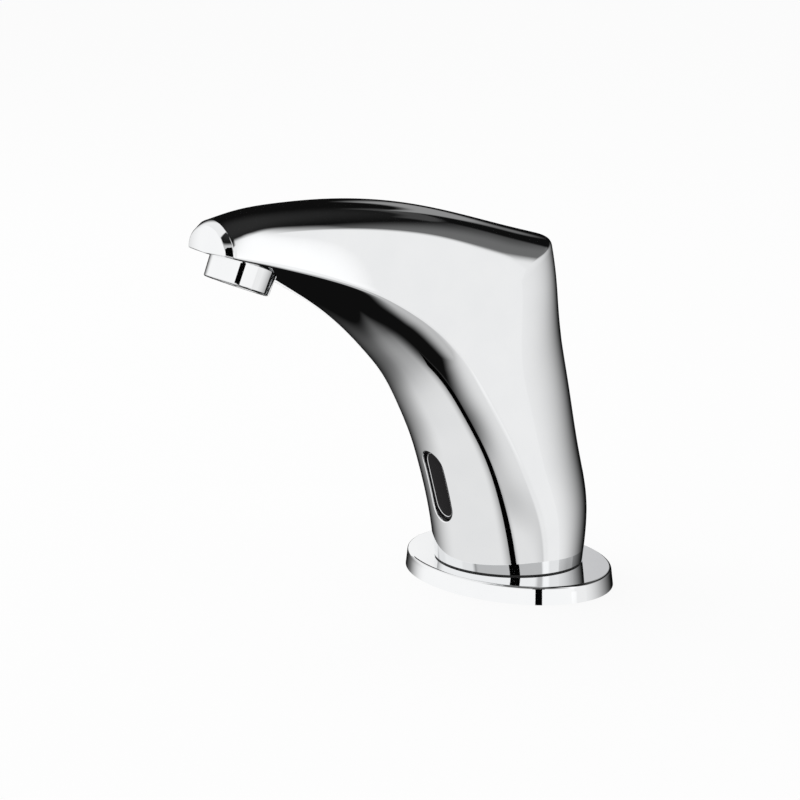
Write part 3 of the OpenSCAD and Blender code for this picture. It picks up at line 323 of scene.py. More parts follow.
def half_section(row, keel_steps, side_steps):
    """The right half of a section, from keel to crown: distance sideways and share of depth."""
    width, level, keel, out, up, side, crown = row[4:11]
    depth = np.hypot(*(row[2:4] - row[0:2]))
    keel_curve = [(0, 0), (keel * width, 0), (out * width, up * level), (width, level)]
    side_curve = [(width, level), (width, level + side * (1 - level)), (crown * width, 1), (0, 1)]
    keel_speed = 3 * math.hypot((1 - out) * width, (1 - up) * level * depth)
    side_speed = 3 * side * (1 - level) * depth
    keel_end = 1 - min(CREASE_ROUND / keel_speed, CREASE_MOST)
    side_start = min(CREASE_ROUND / side_speed, CREASE_MOST)
    lower = bezier(keel_curve, keel_end * np.arange(keel_steps + 1) / keel_steps)
    upper = bezier(side_curve,
                   side_start + (1 - side_start) * np.arange(side_steps + 1) / side_steps)
    shares = (np.arange(1, CREASE_STEPS) / CREASE_STEPS)[:, None]
    corner = np.array([width, level])
    crease = (lower[-1] * (1 - shares) ** 2 + corner * 2 * shares * (1 - shares)
              + upper[0] * shares ** 2)
    return np.vstack([lower, crease, upper])


def section(row, keel_steps, side_steps, shrink=1.0, forward=0.0):
    """A whole section in space, narrowed, lowered and moved forward for the nose.

    The back's corner fades out towards the front, with the cube of the share of depth.
    """
    half = half_section(row, keel_steps, side_steps)
    reach = row[0] + forward * math.cos(OUTLET_TILT)
    height = row[1] + forward * math.sin(OUTLET_TILT)
    drop = (1 - (forward / NOSE_LENGTH) ** NOSE_SQUARE) ** (1 / NOSE_SQUARE)
    drop *= 1 - NOSE_DROP_SHARE * forward / NOSE_LENGTH
    share = half[:, 1:2]
    away = drop * ((row[11:13] - row[0:2]) * share + (row[2:4] - row[11:13]) * share ** 3)
    right = np.column_stack([half[:, 0] * shrink, -reach - away[:, 0], height + away[:, 1]])
    left = right[-2:0:-1] * (-1, 1, 1)
    return np.vstack([right, left])


def inset(row, wall):
    """The same section a wall's thickness further in."""
    inner = row.copy()
    along = (row[2:4] - row[0:2]) / np.linalg.norm(row[2:4] - row[0:2])
    inner[0:2] += along * wall
    inner[2:4] -= along * wall
    inner[11:13] -= along * wall
    inner[4] -= wall
    return inner


def ring_mesh(name, rings, wrap=False):
    """A closed mesh through rings that have the same number of points."""
    count = len(rings[0])
    points = np.vstack(rings)
    last = len(rings) if wrap else len(rings) - 1
    faces = []
    for i in range(last):
        start, following = i * count, (i + 1) % len(rings) * count
        for j in range(count):
            k = (j + 1) % count
            faces.append((start + j, start + k, following + k, following + j))
    if not wrap:
        faces.append(tuple(range(count))[::-1])
        faces.append(tuple(range((len(rings) - 1) * count, len(rings) * count)))
    mesh = bpy.data.meshes.new(name)
    mesh.from_pydata(points.tolist(), [], faces)
    return finished(name, mesh)


def finished(name, mesh):
    """An object for a mesh, with its faces turned outwards."""
    work = bmesh.new()
    work.from_mesh(mesh)
    bmesh.ops.remove_doubles(work, verts=work.verts, dist=1e-7)
    bmesh.ops.recalc_face_normals(work, faces=work.faces)
    work.to_mesh(mesh)
    work.free()
    mesh.update()
    thing = bpy.data.objects.new(name, mesh)
    bpy.context.scene.collection.objects.link(thing)
    return thing


def smooth(thing, angle=30):
    """Smooth shading, with edges sharper than the angle kept sharp."""
    mesh = thing.data
    mesh.polygons.foreach_set("use_smooth", [True] * len(mesh.polygons))
    mesh.set_sharp_from_angle(angle=math.radians(angle))
    mesh.update()
    return thing


def carve(target, tool, operation="DIFFERENCE"):
    """Cuts the tool out of the target or joins it on, and removes the tool."""
    modifier = target.modifiers.new("carve", "BOOLEAN")
    modifier.operation = operation
    modifier.solver = "MANIFOLD"
    modifier.object = tool
    bpy.context.view_layer.update()
    evaluated = target.evaluated_get(bpy.context.evaluated_depsgraph_get())
    mesh = bpy.data.meshes.new_from_object(evaluated)
    target.modifiers.remove(modifier)
    target.data = mesh
    bpy.data.objects.remove(tool)
    return target


def placed(thing, matrix):
    """The same object with its mesh moved to its place."""
    thing.data.transform(matrix)
    thing.data.update()
    return thing


def stadium(width, height, steps=48):
    """Points round an upright stadium, centred on the origin."""
    radius = width / 2
    straight = (height - width) / 2
    angles = np.linspace(0, math.pi, steps)
    top = np.column_stack([radius * np.cos(angles), straight + radius * np.sin(angles)])
    sides = np.linspace(straight, -straight, steps // 2)[1:-1]
    left = np.column_stack([np.full(len(sides), -radius), sides])
    return np.vstack([top, left, -top, -left])


def level_ring(outline, level):
    """The points of a flat outline at a level."""
    return np.column_stack([outline, np.full(len(outline), level)])


def prism(name, outline, low, high):
    """An upright solid with a flat outline, from one level to another."""
    return ring_mesh(name, [level_ring(outline, low), level_ring(outline, high)])


def circle(radius, steps=96):
    """Points round a circle, centred on the origin."""
    angles = np.arange(steps) * 2 * math.pi / steps
    return np.column_stack([radius * np.cos(angles), radius * np.sin(angles)])


def lathe(name, profile, steps=160):
    """A ring turned about Z from a closed profile of radius and height."""
    turn = circle(1, steps)
    rings = [level_ring(turn * radius, height) for radius, height in profile]
    return ring_mesh(name, rings, wrap=True)


def rounded(corner, before, after, radius, steps=6):
    """Points of an arc that rounds a corner of a profile."""
    corner, before, after = (np.array(p, float) for p in (corner, before, after))
    towards = (before - corner) / np.linalg.norm(before - corner)
    away = (after - corner) / np.linalg.norm(after - corner)
    shares = np.arange(steps + 1) / steps
    arc = [corner + radius * (towards * (1 - s) ** 2 + away * s ** 2) for s in shares]
    return [tuple(p) for p in [arc[0] + towards * HOLD, *arc, arc[-1] + away * HOLD]]


def rounded_profile(corners):
    """A closed profile from corners, each with the radius that rounds it."""
    points = []
    for k, (radius, height, rounding) in enumerate(corners):
        if rounding:
            points += rounded((radius, height), corners[k - 1][:2],
                              corners[(k + 1) % len(corners)][:2], rounding)
        else:
            points.append((radius, height))
    return points


window_matrix = (Matrix.Translation((0, -ROWS[WINDOW_STATION][0], ROWS[WINDOW_STATION][1]))
                 @ Matrix.Rotation(WINDOW_TILT - math.pi / 2, 4, "X"))
outlet_matrix = (Matrix.Translation((0, -ROWS[OUTLET_STATION][0], ROWS[OUTLET_STATION][1]))
                 @ Matrix.Rotation(math.pi - OUTLET_TILT, 4, "X"))


def nose_profile():
    """Half width and forward reach of the nose's rings: a flat corner, then a domed end."""
    wide = NOSE_WIDTH / 2
    narrow = wide - NOSE_CORNER / math.tan(NOSE_CORNER_TURN)
    start = NOSE_EDGE + NOSE_CORNER
    dome = [(narrow * (1 - share), start + (NOSE_LENGTH - start) * (1 - (1 - share) ** 2))
            for share in np.arange(NOSE_STEPS) / NOSE_STEPS]
    first = rounded((wide, NOSE_EDGE), (wide, 0), dome[0], NOSE_ROUND)
    second = rounded(dome[0], (wide, NOSE_EDGE), dome[1], NOSE_ROUND)
    return first + second + dome[2:]


def outer_shell():
    """The casting's outside, with more sections where the back turns its corner."""
    places = {k / PER_STATION for k in range(LAST_STATION * PER_STATION + 1)}
    places |= {CORNER_STATION + CORNER_SPAN * k / CORNER_STEPS
               for k in range(-CORNER_STEPS, CORNER_STEPS + 1)}
    rings = [section(station(t), KEEL_STEPS, SIDE_STEPS) for t in sorted(places)]
    for half_width, forward in nose_profile():
        rings.append(section(station(LAST_STATION), KEEL_STEPS, SIDE_STEPS,
                             half_width / (NOSE_WIDTH / 2), forward))
    return ring_mesh("tap_shell", rings)


def cavity():
    """The hollow of the casting, open at the foot."""
    rings = [section(inset(station(CAVITY_END * k / CAVITY_STEPS), BODY_WALL),
                     CAVITY_KEEL_STEPS, CAVITY_SIDE_STEPS)
             for k in range(CAVITY_STEPS + 1)]
    below = rings[0] - (0, 0, 2 * OVERRUN)
    return ring_mesh("cavity", [below] + rings)


def window_rim(surface):
    """The rounded edge and the side wall of the window's opening."""
    tree = BVHTree.FromObject(surface, bpy.context.evaluated_depsgraph_get())
    into = (window_matrix.to_3x3() @ Vector((0, 0, 1))).normalized()
    inner = stadium(WINDOW_WIDTH, WINDOW_HEIGHT)
    outer = stadium(WINDOW_WIDTH + 2 * WINDOW_BEVEL, WINDOW_HEIGHT + 2 * WINDOW_BEVEL)

    def depth(x, y):
        start = window_matrix @ Vector((x, y, RAY_START))
        hit = tree.ray_cast(start, into)[0]
        return (window_matrix.inverted() @ hit).z

    depths = np.array([depth(x, y) for x, y in outer])
    rings = []
    for k in range(RIM_STEPS + 1):
        angle = math.pi / 2 * k / RIM_STEPS
        share = math.sin(angle)
        outline = outer + (inner - outer) * share
        rings.append(np.column_stack([outline, depths + WINDOW_BEVEL * (1 - math.cos(angle))]))
    rings += [level_ring(inner, SEAT_DEPTH), level_ring(outer, SEAT_DEPTH)]
    rim = ring_mesh("window_rim", rings, wrap=True)
    return smooth(placed(rim, window_matrix), 40)


def tap_shell():
    """The casting with its hollow, bosses, holes, window and outlet, and the window's rim."""
    body = outer_shell()
    rim = window_rim(body)
    carve(body, cavity())
    boss = prism("boss", np.array([(1, 1), (-1, 1), (-1, -1), (1, -1)])
                 * (BOSS_HALF_WIDTH, BOSS_HALF_HEIGHT), BOSS_FRONT, SEAT_DEPTH)
    carve(body, placed(boss, window_matrix), "UNION")
    for side in (-1, 1):
        place = Matrix.Translation((side * BASE_SCREW_OFFSET, 0, FOOT_LEVEL + BASE_HEIGHT))
        boss = prism("screw_boss", circle(BASE_BOSS_RADIUS), 0, BASE_BOSS_HEIGHT)
        carve(body, placed(boss, place), "UNION")
        hole = prism("screw_hole", circle(BASE_SCREW_HOLE, SCREW_SIDES), -OVERRUN, BASE_SCREW_REACH)
        carve(body, placed(hole, place))
    outline = stadium(WINDOW_WIDTH + 2 * WINDOW_BEVEL, WINDOW_HEIGHT + 2 * WINDOW_BEVEL)
    cut = prism("window_cut", outline, WINDOW_CUT_START, SEAT_DEPTH + OVERRUN)
    carve(body, placed(cut, window_matrix))
    for side in (-1, 1):
        hole = prism("sensor_hole", circle(SENSOR_SCREW_HOLE, SCREW_SIDES),
                     SEAT_DEPTH - SENSOR_SCREW_REACH, SEAT_DEPTH + OVERRUN)
        place = window_matrix @ Matrix.Translation((0, side * SENSOR_SCREW_OFFSET, 0))
        carve(body, placed(hole, place))
    socket = COLLAR_SEAT + THREAD_LENGTH + WASHER_HEIGHT
    for radius, low, high in ((COLLAR_RADIUS + SLACK, -COLLAR_SEAT, COLLAR_CUT_END),
                              (OUTLET_THREAD_RADIUS, -socket, 0),
                              (CHAMBER_RADIUS, -socket - CHAMBER_HEIGHT, -socket + OVERRUN)):
        cut = prism("outlet_cut", circle(radius, OUTLET_SIDES), low, high)
        carve(body, placed(cut, outlet_matrix))
    return smooth(body), rim


def deck_plate():
    """The oval plate: a drafted, rounded rim, a flat top, the hole with its rib, and a hollow."""
    turn = circle(1, PLATE_SIDES)
    top_width = plate_high.x - PLATE_DRAFT
    top_depth = plate_high.y - PLATE_DRAFT
    height = plate_high.z

    def oval(grow, level):
        return level_ring(turn * (top_width + grow, top_depth + grow), level)

    def round_ring(radius, level):
        return level_ring(turn * radius, level)

    rings = [oval(PLATE_DRAFT * (1 - k / DRAFT_STEPS), (height - PLATE_ROUND) * k / DRAFT_STEPS)
             for k in range(DRAFT_STEPS)]
    for k in range(PLATE_ROUND_STEPS + 1):
        angle = math.pi / 2 * k / PLATE_ROUND_STEPS
        rings.append(oval(PLATE_ROUND * (math.cos(angle) - 1),
                          height - PLATE_ROUND * (1 - math.sin(angle))))
    rings.append(oval(-PLATE_ROUND - HOLD, height))
    rings.append(round_ring(PLATE_HOLE_RADIUS, height))
    rings.append(round_ring(PLATE_HOLE_RADIUS, 0))
    rings.append(round_ring(PLATE_HOLE_RADIUS + PLATE_RIB, 0))
    rings.append(round_ring(PLATE_HOLE_RADIUS + PLATE_RIB, height - PLATE_WALL))
    rings.append(oval(-PLATE_WALL, height - PLATE_WALL))
    rings.append(oval(-PLATE_WALL, 0))
    return smooth(ring_mesh("plate_casting", rings, wrap=True))


def outlet_collar():
    """The collar with its threaded shank, its tapered skirt and the lip round its mouth."""
    top = SLACK - COLLAR_SEAT
    thread = OUTLET_THREAD_RADIUS - THREAD_SLACK
    end = -COLLAR_SEAT - THREAD_LENGTH
    lower = COLLAR_RADIUS - COLLAR_TAPER
    profile = rounded_profile([
        (COLLAR_BORE, end, 0), (thread, end, 0), (thread, top, 0),
        (COLLAR_RADIUS, top, COLLAR_TOP_ROUND), (lower, COLLAR_HEIGHT, COLLAR_ROUND),
        (COLLAR_BORE - COLLAR_LIP, COLLAR_HEIGHT, LIP_ROUND),
        (COLLAR_BORE - COLLAR_LIP, COLLAR_HEIGHT - COLLAR_LIP, 0),
        (COLLAR_BORE, COLLAR_HEIGHT - COLLAR_LIP, 0)])
    return smooth(placed(lathe("outlet_collar", profile), outlet_matrix))


def window_lens():
    """The dark lens, a plug with a rounded front edge and a flange behind it."""
    rings = []
    back = SEAT_DEPTH + SENSOR_GASKET_HEIGHT
    for k in range(LENS_STEPS + 1):
        angle = math.pi / 2 * k / LENS_STEPS
        smaller = 2 * (LENS_SLACK + LENS_ROUND * (1 - math.sin(angle)))
        outline = stadium(WINDOW_WIDTH - smaller, WINDOW_HEIGHT - smaller)
        rings.append(level_ring(outline, WINDOW_RECESS + LENS_ROUND * (1 - math.cos(angle))))
    for grow, depth in ((-2 * LENS_SLACK, back), (2 * LENS_FLANGE, back),
                        (2 * LENS_FLANGE, back + LENS_FLANGE_HEIGHT)):
        rings.append(level_ring(stadium(WINDOW_WIDTH + grow, WINDOW_HEIGHT + grow), depth))
    return smooth(placed(ring_mesh("window_lens", rings), window_matrix))


def lens_bezel():
    """The thin bright ridge round the lens, sloping inwards."""
    inner = BEZEL_INSET + BEZEL_WIDTH
    rings = []
    for inset_by, depth in ((BEZEL_INSET, BEZEL_FOOT), (BEZEL_INSET, -BEZEL_HEIGHT),
                            (BEZEL_INSET + BEZEL_FLAT, -BEZEL_HEIGHT), (inner, 0),
                            (inner, BEZEL_FOOT)):
        outline = stadium(WINDOW_WIDTH - 2 * inset_by, WINDOW_HEIGHT - 2 * inset_by)
        rings.append(level_ring(outline, WINDOW_RECESS + depth))
    return smooth(placed(ring_mesh("lens_bezel", rings, wrap=True), window_matrix), 20)


class Value:
    """A shader value that Python's own operators work on."""

    def __init__(self, graph, socket):
        self.graph, self.socket = graph, socket

    def __add__(self, other):
        return self.graph.maths("ADD", self, other)

    def __radd__(self, other):
        return self.graph.maths("ADD", other, self)

    def __sub__(self, other):
        return self.graph.maths("SUBTRACT", self, other)

    def __rsub__(self, other):
        return self.graph.maths("SUBTRACT", other, self)

    def __mul__(self, other):
        return self.graph.maths("MULTIPLY", self, other)

    def __rmul__(self, other):
        return self.graph.maths("MULTIPLY", other, self)


class Graph:
    """A node tree under construction."""

    def __init__(self, tree):
        self.nodes, self.links = tree.nodes, tree.links

    def join(self, value, socket):
        if isinstance(value, Value):
            value = value.socket
        if isinstance(value, bpy.types.NodeSocket):
            self.links.new(value, socket)
        else:
            socket.default_value = value

    def node(self, kind, settings=(), inputs=()):
        made = self.nodes.new(kind)
        for key, value in dict(settings).items():
            setattr(made, key, value)
        for key, value in dict(inputs).items():
            self.join(value, made.inputs[key])
        return made

    def value(self, kind, output, settings=(), inputs=()):
        return Value(self, self.node(kind, settings, inputs).outputs[output])

    def maths(self, operation, *sides):
        return self.value("ShaderNodeMath", 0, {"operation": operation}, dict(enumerate(sides)))

    def ramp(self, value, start, end):
        """Smoothly from 0 at the start to 1 at the end."""
        return self.value("ShaderNodeMapRange", 0, {"interpolation_type": "SMOOTHSTEP"},
                          {0: value, 1: start, 2: end})

    def noise(self, place, scale, detail=2.0):
        return self.value("ShaderNodeTexNoise", 0, (),
                          {"Vector": place, "Scale": scale, "Detail": detail})

    def blend(self, factor, first, second):
        made = self.node("ShaderNodeMix", {"data_type": "RGBA"},
                         {0: factor, 6: (*first, 1), 7: (*second, 1)})
        return made.outputs[2]


class Finish(Graph):
    """A material under construction, with one Principled shader."""

    def __init__(self, name):
        self.material = bpy.data.materials.new(name)
        self.material.use_nodes = True
        super().__init__(self.material.node_tree)
        self.shader = self.nodes["Principled BSDF"]
        self.place = self.node("ShaderNodeTexCoord").outputs["Object"]

    def cloud(self, scale, detail=2.0):
        return self.noise(self.place, scale, detail)

    def set(self, **inputs):
        for key, value in inputs.items():
            self.join(value, self.shader.inputs[key.replace("_", " ")])
        return self

    def bump(self, height, strength, distance):
        made = self.node("ShaderNodeBump", (), {"Height": height, "Strength": strength,
                                                "Distance": distance})
        return self.set(Normal=made.outputs[0])


def chrome(name, dark=(0.84, 0.85, 0.86), light=(0.90, 0.905, 0.91)):
    """Polished chrome, a little cloudy."""
    made = Finish(name)
    cloud = made.cloud(60, 3)
    return made.set(Base_Color=made.blend(cloud, dark, light), Metallic=1.0,
                    Roughness=0.018 + cloud * 0.022).material


def metal(name, dark, light, rough, grain=900):
    """A bare metal with a fine grain."""
    made = Finish(name)
    cloud = made.cloud(grain, 4)
    made.set(Base_Color=made.blend(cloud, dark, light), Metallic=1.0,
             Roughness=rough + cloud * 0.15)
    return made.bump(cloud, 0.2, GRAIN_DEPTH).material


def plastic(name, dark, light, rough, grain=700, shine=0.5):
    """A plastic, rubber or coating with a fine grain."""
    made = Finish(name)
    cloud = made.cloud(grain, 3)
    made.set(Base_Color=made.blend(cloud, dark, light), Roughness=rough + cloud * 0.12,
             Specular_IOR_Level=shine)
    return made.bump(cloud, 0.15, GRAIN_DEPTH).material


finishes = {
    "body_chrome": chrome("polished_chrome"),
    "plate_chrome": chrome("plate_chrome"),
    "window": plastic("infrared_window", (0.004, 0.003, 0.004), (0.007, 0.006, 0.007), 0.04,
                      grain=300, shine=0.05),
    "rubber": plastic("black_rubber", (0.012, 0.012, 0.012), (0.03, 0.03, 0.03), 0.55),
    "brass": metal("machined_brass", (0.68, 0.52, 0.24), (0.80, 0.65, 0.36), 0.22),
    "steel": metal("brushed_steel", (0.56, 0.56, 0.57), (0.70, 0.70, 0.71), 0.22),
    "white_plastic": plastic("white_nylon", (0.74, 0.74, 0.71), (0.84, 0.84, 0.82), 0.38),
    "black_plastic": plastic("black_nylon", (0.02, 0.02, 0.022), (0.045, 0.045, 0.05), 0.42),
    "grey_plastic": plastic("grey_nylon", (0.20, 0.21, 0.22), (0.28, 0.29, 0.31), 0.40),
    "winding": metal("enamelled_copper", (0.42, 0.16, 0.05), (0.62, 0.28, 0.10), 0.30),
    "board": plastic("solder_mask", (0.012, 0.10, 0.04), (0.02, 0.16, 0.07), 0.30),
    "battery_skin": plastic("battery_sleeve", (0.05, 0.06, 0.07), (0.09, 0.10, 0.12), 0.30),
    "clear_plastic": plastic("clear_epoxy", (0.42, 0.46, 0.56), (0.50, 0.55, 0.66), 0.08),
    "dark_lens": plastic("dark_epoxy", (0.01, 0.01, 0.02), (0.02, 0.02, 0.04), 0.08),
    "red_lead": plastic("red_sleeve", (0.42, 0.02, 0.015), (0.55, 0.04, 0.03), 0.40),
    "black_lead": plastic("black_sleeve", (0.012, 0.012, 0.012), (0.025, 0.025, 0.025), 0.40),
}


def painted(thing, finish):
    """The same object in one finish."""
    thing.data.materials.clear()
    thing.data.materials.append(finishes[finish])
    return thing


for part in frame["record"]["subparts"]:
    painted(frame["nodes"][part["node"]], part["material_slot"])


def dress(thing, body, finish, *nodes):
    """A new piece rides on a body, takes a finish and stands for model nodes."""
    painted(thing, finish)
    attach(thing, body)
    if nodes:
        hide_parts(*nodes)
    return thing


class Form(Graph):
    """A Geometry Nodes tree under construction, with named inputs for its sizes."""

    def __init__(self, name, finish, **sizes):
        self.tree = bpy.data.node_groups.new(name, "GeometryNodeTree")
        super().__init__(self.tree)
        self.finish, self.sizes = finish, sizes
        face = self.tree.interface
        face.new_socket("Geometry", in_out="OUTPUT", socket_type="NodeSocketGeometry")
        for key, value in sizes.items():
            kind = "NodeSocketInt" if isinstance(value, int) else "NodeSocketFloat"
            face.new_socket(key, in_out="INPUT", socket_type=kind)
        given = self.node("NodeGroupInput").outputs
        self.given = {key: Value(self, given[key]) for key in sizes}

    def shape(self, kind, inputs=(), settings=()):
        return self.value("GeometryNode" + kind, 0, settings, inputs)

    def vector(self, x=0.0, y=0.0, z=0.0):
        return self.value("ShaderNodeCombineXYZ", 0, (), {0: x, 1: y, 2: z})

    def mesh(self, name, result):
        """The tree's result as a plain mesh object."""
        real = self.shape("RealizeInstances", {0: result})
        done = self.shape("SetMaterial", {"Geometry": real, "Material": finishes[self.finish]})
        self.join(done, self.node("NodeGroupOutput").inputs[0])
        thing = bpy.data.objects.new(name, bpy.data.meshes.new(name))
        bpy.context.scene.collection.objects.link(thing)
        modifier = thing.modifiers.new("form", "NODES")
        modifier.node_group = self.tree
        for socket in self.tree.interface.items_tree:
            if socket.in_out == "INPUT":
                modifier[socket.identifier] = self.sizes[socket.name]
        bpy.context.view_layer.update()
        evaluated = thing.evaluated_get(bpy.context.evaluated_depsgraph_get())
        made = bpy.data.meshes.new_from_object(evaluated)
        thing.modifiers.remove(modifier)
        thing.data = made
        return thing


def coil(name, finish, radius, wire, length, turns):
    """A wire wound round Z, from zero up to the length, as a spring or a winding has it."""
    form = Form(name, finish, Radius=radius, Wire=wire, Length=length, Turns=float(turns),
                Steps=COIL_STEPS)
    given = form.given
    half = given["Wire"] * 0.5
    path = form.shape("CurveSpiral", {
        "Resolution": given["Steps"], "Rotations": given["Turns"], "Start Radius": given["Radius"],
        "End Radius": given["Radius"], "Height": given["Length"] - given["Wire"]})
    around = form.shape("CurvePrimitiveCircle", {"Resolution": WIRE_SIDES, "Radius": half})
    solid = form.shape("CurveToMesh", {"Curve": path, "Profile Curve": around, "Fill Caps": True})
    lifted = form.shape("Transform", {"Geometry": solid, "Translation": form.vector(z=half)})
    return smooth(form.mesh(name, lifted), 60)


def gauze(name, finish, radius, wire, gap):
    """Two crossed layers of wires, each as long as the round mesh is wide at its place."""
    form = Form(name, finish, Radius=radius, Wire=wire, Gap=gap, Wires=int(2 * radius / gap))
    given = form.given
    span = given["Gap"] * given["Wires"]
    row = form.shape("MeshLine", {"Count": given["Wires"] + 1,
                                  "Start Location": form.vector(span * -0.5),
                                  "Offset": form.vector(span * 0.5)}, {"mode": "END_POINTS"})
    across = form.value("ShaderNodeSeparateXYZ", 0, (), {0: form.shape("InputPosition")})
    chord = form.maths("SQRT", given["Radius"] * given["Radius"] - across * across)
    bar = form.shape("MeshCube", {"Size": form.vector(given["Wire"], 1.0, given["Wire"])})
    bars = form.shape("InstanceOnPoints", {"Points": row, "Instance": bar,
                                           "Scale": form.vector(1.0, chord * 2, 1.0)})
    crossed = form.shape("Transform", {"Geometry": bars, "Rotation": (0, 0, math.pi / 2),
                                       "Translation": form.vector(z=given["Wire"])})
    both = form.node("GeometryNodeJoinGeometry")
    for layer in (bars, crossed):
        form.join(layer, both.inputs[0])
    return form.mesh(name, both.outputs[0])


FORWARD = Matrix.Rotation(math.pi / 2, 4, "X")


def plunger_coil():
    """The spring between the plunger and the core, at its length in the model."""
    level = (spring_low.z + spring_high.z) / 2
    wide = (spring_high.x - spring_low.x) / 2
    length = spring_high.y - spring_low.y
    thing = coil("plunger_coil", "steel", wide - PLUNGER_WIRE / 2, PLUNGER_WIRE, length,
                 PLUNGER_TURNS)
    placed(thing, Matrix.Translation((0, spring_high.y, level)) @ FORWARD)
    dress(thing, "tap", "steel", "plunger_spring")
    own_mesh(thing)


def check_coil():
    """The check valve's spring, at its length in the model."""
    middle = (check_low + check_high) / 2
    length = check_high.z - check_low.z
    wide = (check_high.x - check_low.x) / 2
    thing = coil("check_coil", "steel", wide - CHECK_WIRE / 2, CHECK_WIRE, length, CHECK_TURNS)
    placed(thing, Matrix.Translation((middle.x, middle.y, check_low.z)))
    dress(thing, "tap", "steel", "check_valve_spring")
    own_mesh(thing)


def solenoid_winding():
    """The bobbin with its flanges, and the enamelled wire wound between them."""
    middle = (coil_low + coil_high) / 2
    wide = (coil_high.x - coil_low.x) / 2
    length = coil_high.y - coil_low.y
    far = length - BOBBIN_FLANGE
    place = Matrix.Translation((0, coil_high.y, middle.z)) @ FORWARD
    core = wide - WINDING_INSET - WINDING_WIRE
    profile = [(BOBBIN_BORE, 0), (wide, 0), (wide, BOBBIN_FLANGE), (core, BOBBIN_FLANGE),
               (core, far), (wide, far), (wide, length), (BOBBIN_BORE, length)]
    bobbin = smooth(placed(lathe("coil_bobbin", profile, BOBBIN_SIDES), place))
    dress(bobbin, "tap", "black_plastic", "solenoid_coil")
    room = length - 2 * BOBBIN_FLANGE
    wound = coil("coil_winding", "winding", core + WINDING_WIRE / 2, WINDING_WIRE, room,
                 room / WINDING_WIRE - 1)
    placed(wound, place @ Matrix.Translation((0, 0, BOBBIN_FLANGE)))
    dress(wound, "tap", "winding")


def screen():
    """The aerator's rim and its crossed wires."""
    place = outlet_matrix @ Matrix.Translation((0, 0, SCREEN_LEVEL))
    inside = SCREEN_RADIUS - SCREEN_RIM
    profile = [(inside, 0), (SCREEN_RADIUS, 0), (SCREEN_RADIUS, SCREEN_HEIGHT),
               (inside, SCREEN_HEIGHT)]
    rim = smooth(placed(lathe("screen_rim", profile, OUTLET_SIDES), place))
    dress(rim, "aerator_cartridge", "steel", "aerator_screen")
    net = gauze("screen_mesh", "steel", SCREEN_RADIUS - SCREEN_RIM / 2, SCREEN_WIRE, SCREEN_GAP)
    placed(net, place @ Matrix.Translation((0, 0, SCREEN_WIRE / 2)))
    dress(net, "aerator_cartridge", "steel")


shell, rim = tap_shell()
dress(shell, "tap", "body_chrome", "tap_body")
dress(rim, "tap", "body_chrome")
dress(deck_plate(), "tap", "plate_chrome", "deck_plate")
dress(window_lens(), "tap", "window", "sensor_lens")
dress(lens_bezel(), "tap", "body_chrome")
dress(outlet_collar(), "collar", "body_chrome", "aerator_collar")
plunger_coil()
check_coil()
solenoid_winding()
screen()


# The studio that the chrome mirrors, in degrees. Azimuths are counted to the right from the
# camera's, so 180 is behind the tap. Each row: azimuth from and to, each with its blur, then
# the lower limit in elevation, its blur, its rise per degree of azimuth and its bend at the
# bend reach from the row's middle, then the upper limit, its blur and rise, and brightness.
BEND_REACH = 50
CEILING_LEVEL = 0.022
CEILING_START = 40
CEILING_END = 75
SHADE_LEVEL = 0.005
STUDIO_PANELS = [
    [50, 12, 57, 6, -25, 10, 0, 0, 62, 12, 0, 0.91],
    [48, 10, 54, 18, -4, 6, 0, 0, 46, 14, 0, 1.15],
    [58, 34, 76, 8, -25, 10, 0, 0, 95, 9, -1, 0.95],
    [58, 34, 66, 92, -25, 10, 0, 0, 14, 10, 0, 0.95],
    [8, 14, 56, 14, -27, 15, 0.3, 0, 0, 8, 0, 0.84],
    [40, 16, 46, 10, -50, 20, 0, 0, -10, 12, 0, 0.56],
    [-100, 70, -22, 30, -50, 36, 0, 8.5, 0, 8, 0, 0.86],
    [-120, 42, 50, 20, -10, 8, 0, 0, 17, 3, -0.11, 1.05],
    [-140, 20, -72, 12, 12, 2, 0, 0, 75, 15, 0, 0.95],
    [-60, 12, 48, 6, 12, 2, 0, 0, 36, 14, 0, 0.60],
    [60, 6, 112, 8, 10, 4, 0, 0, 17, 5, 0, 0.50],
    [152, 8, 176, 4, 186, 5, -1, 0, 194, 5, -1, 0.30],
    [112, 12, 150, 12, 45, 3, 0, 0, 49, 4, 0, 0.06],
    [66, 8, 112, 12, 0, 8, 0, 0, 27, 20, 0, 0.16],
    [-180, 1, 180, 1, 86, 6, 0, 0, 91, 1, 0, 0.60],
]


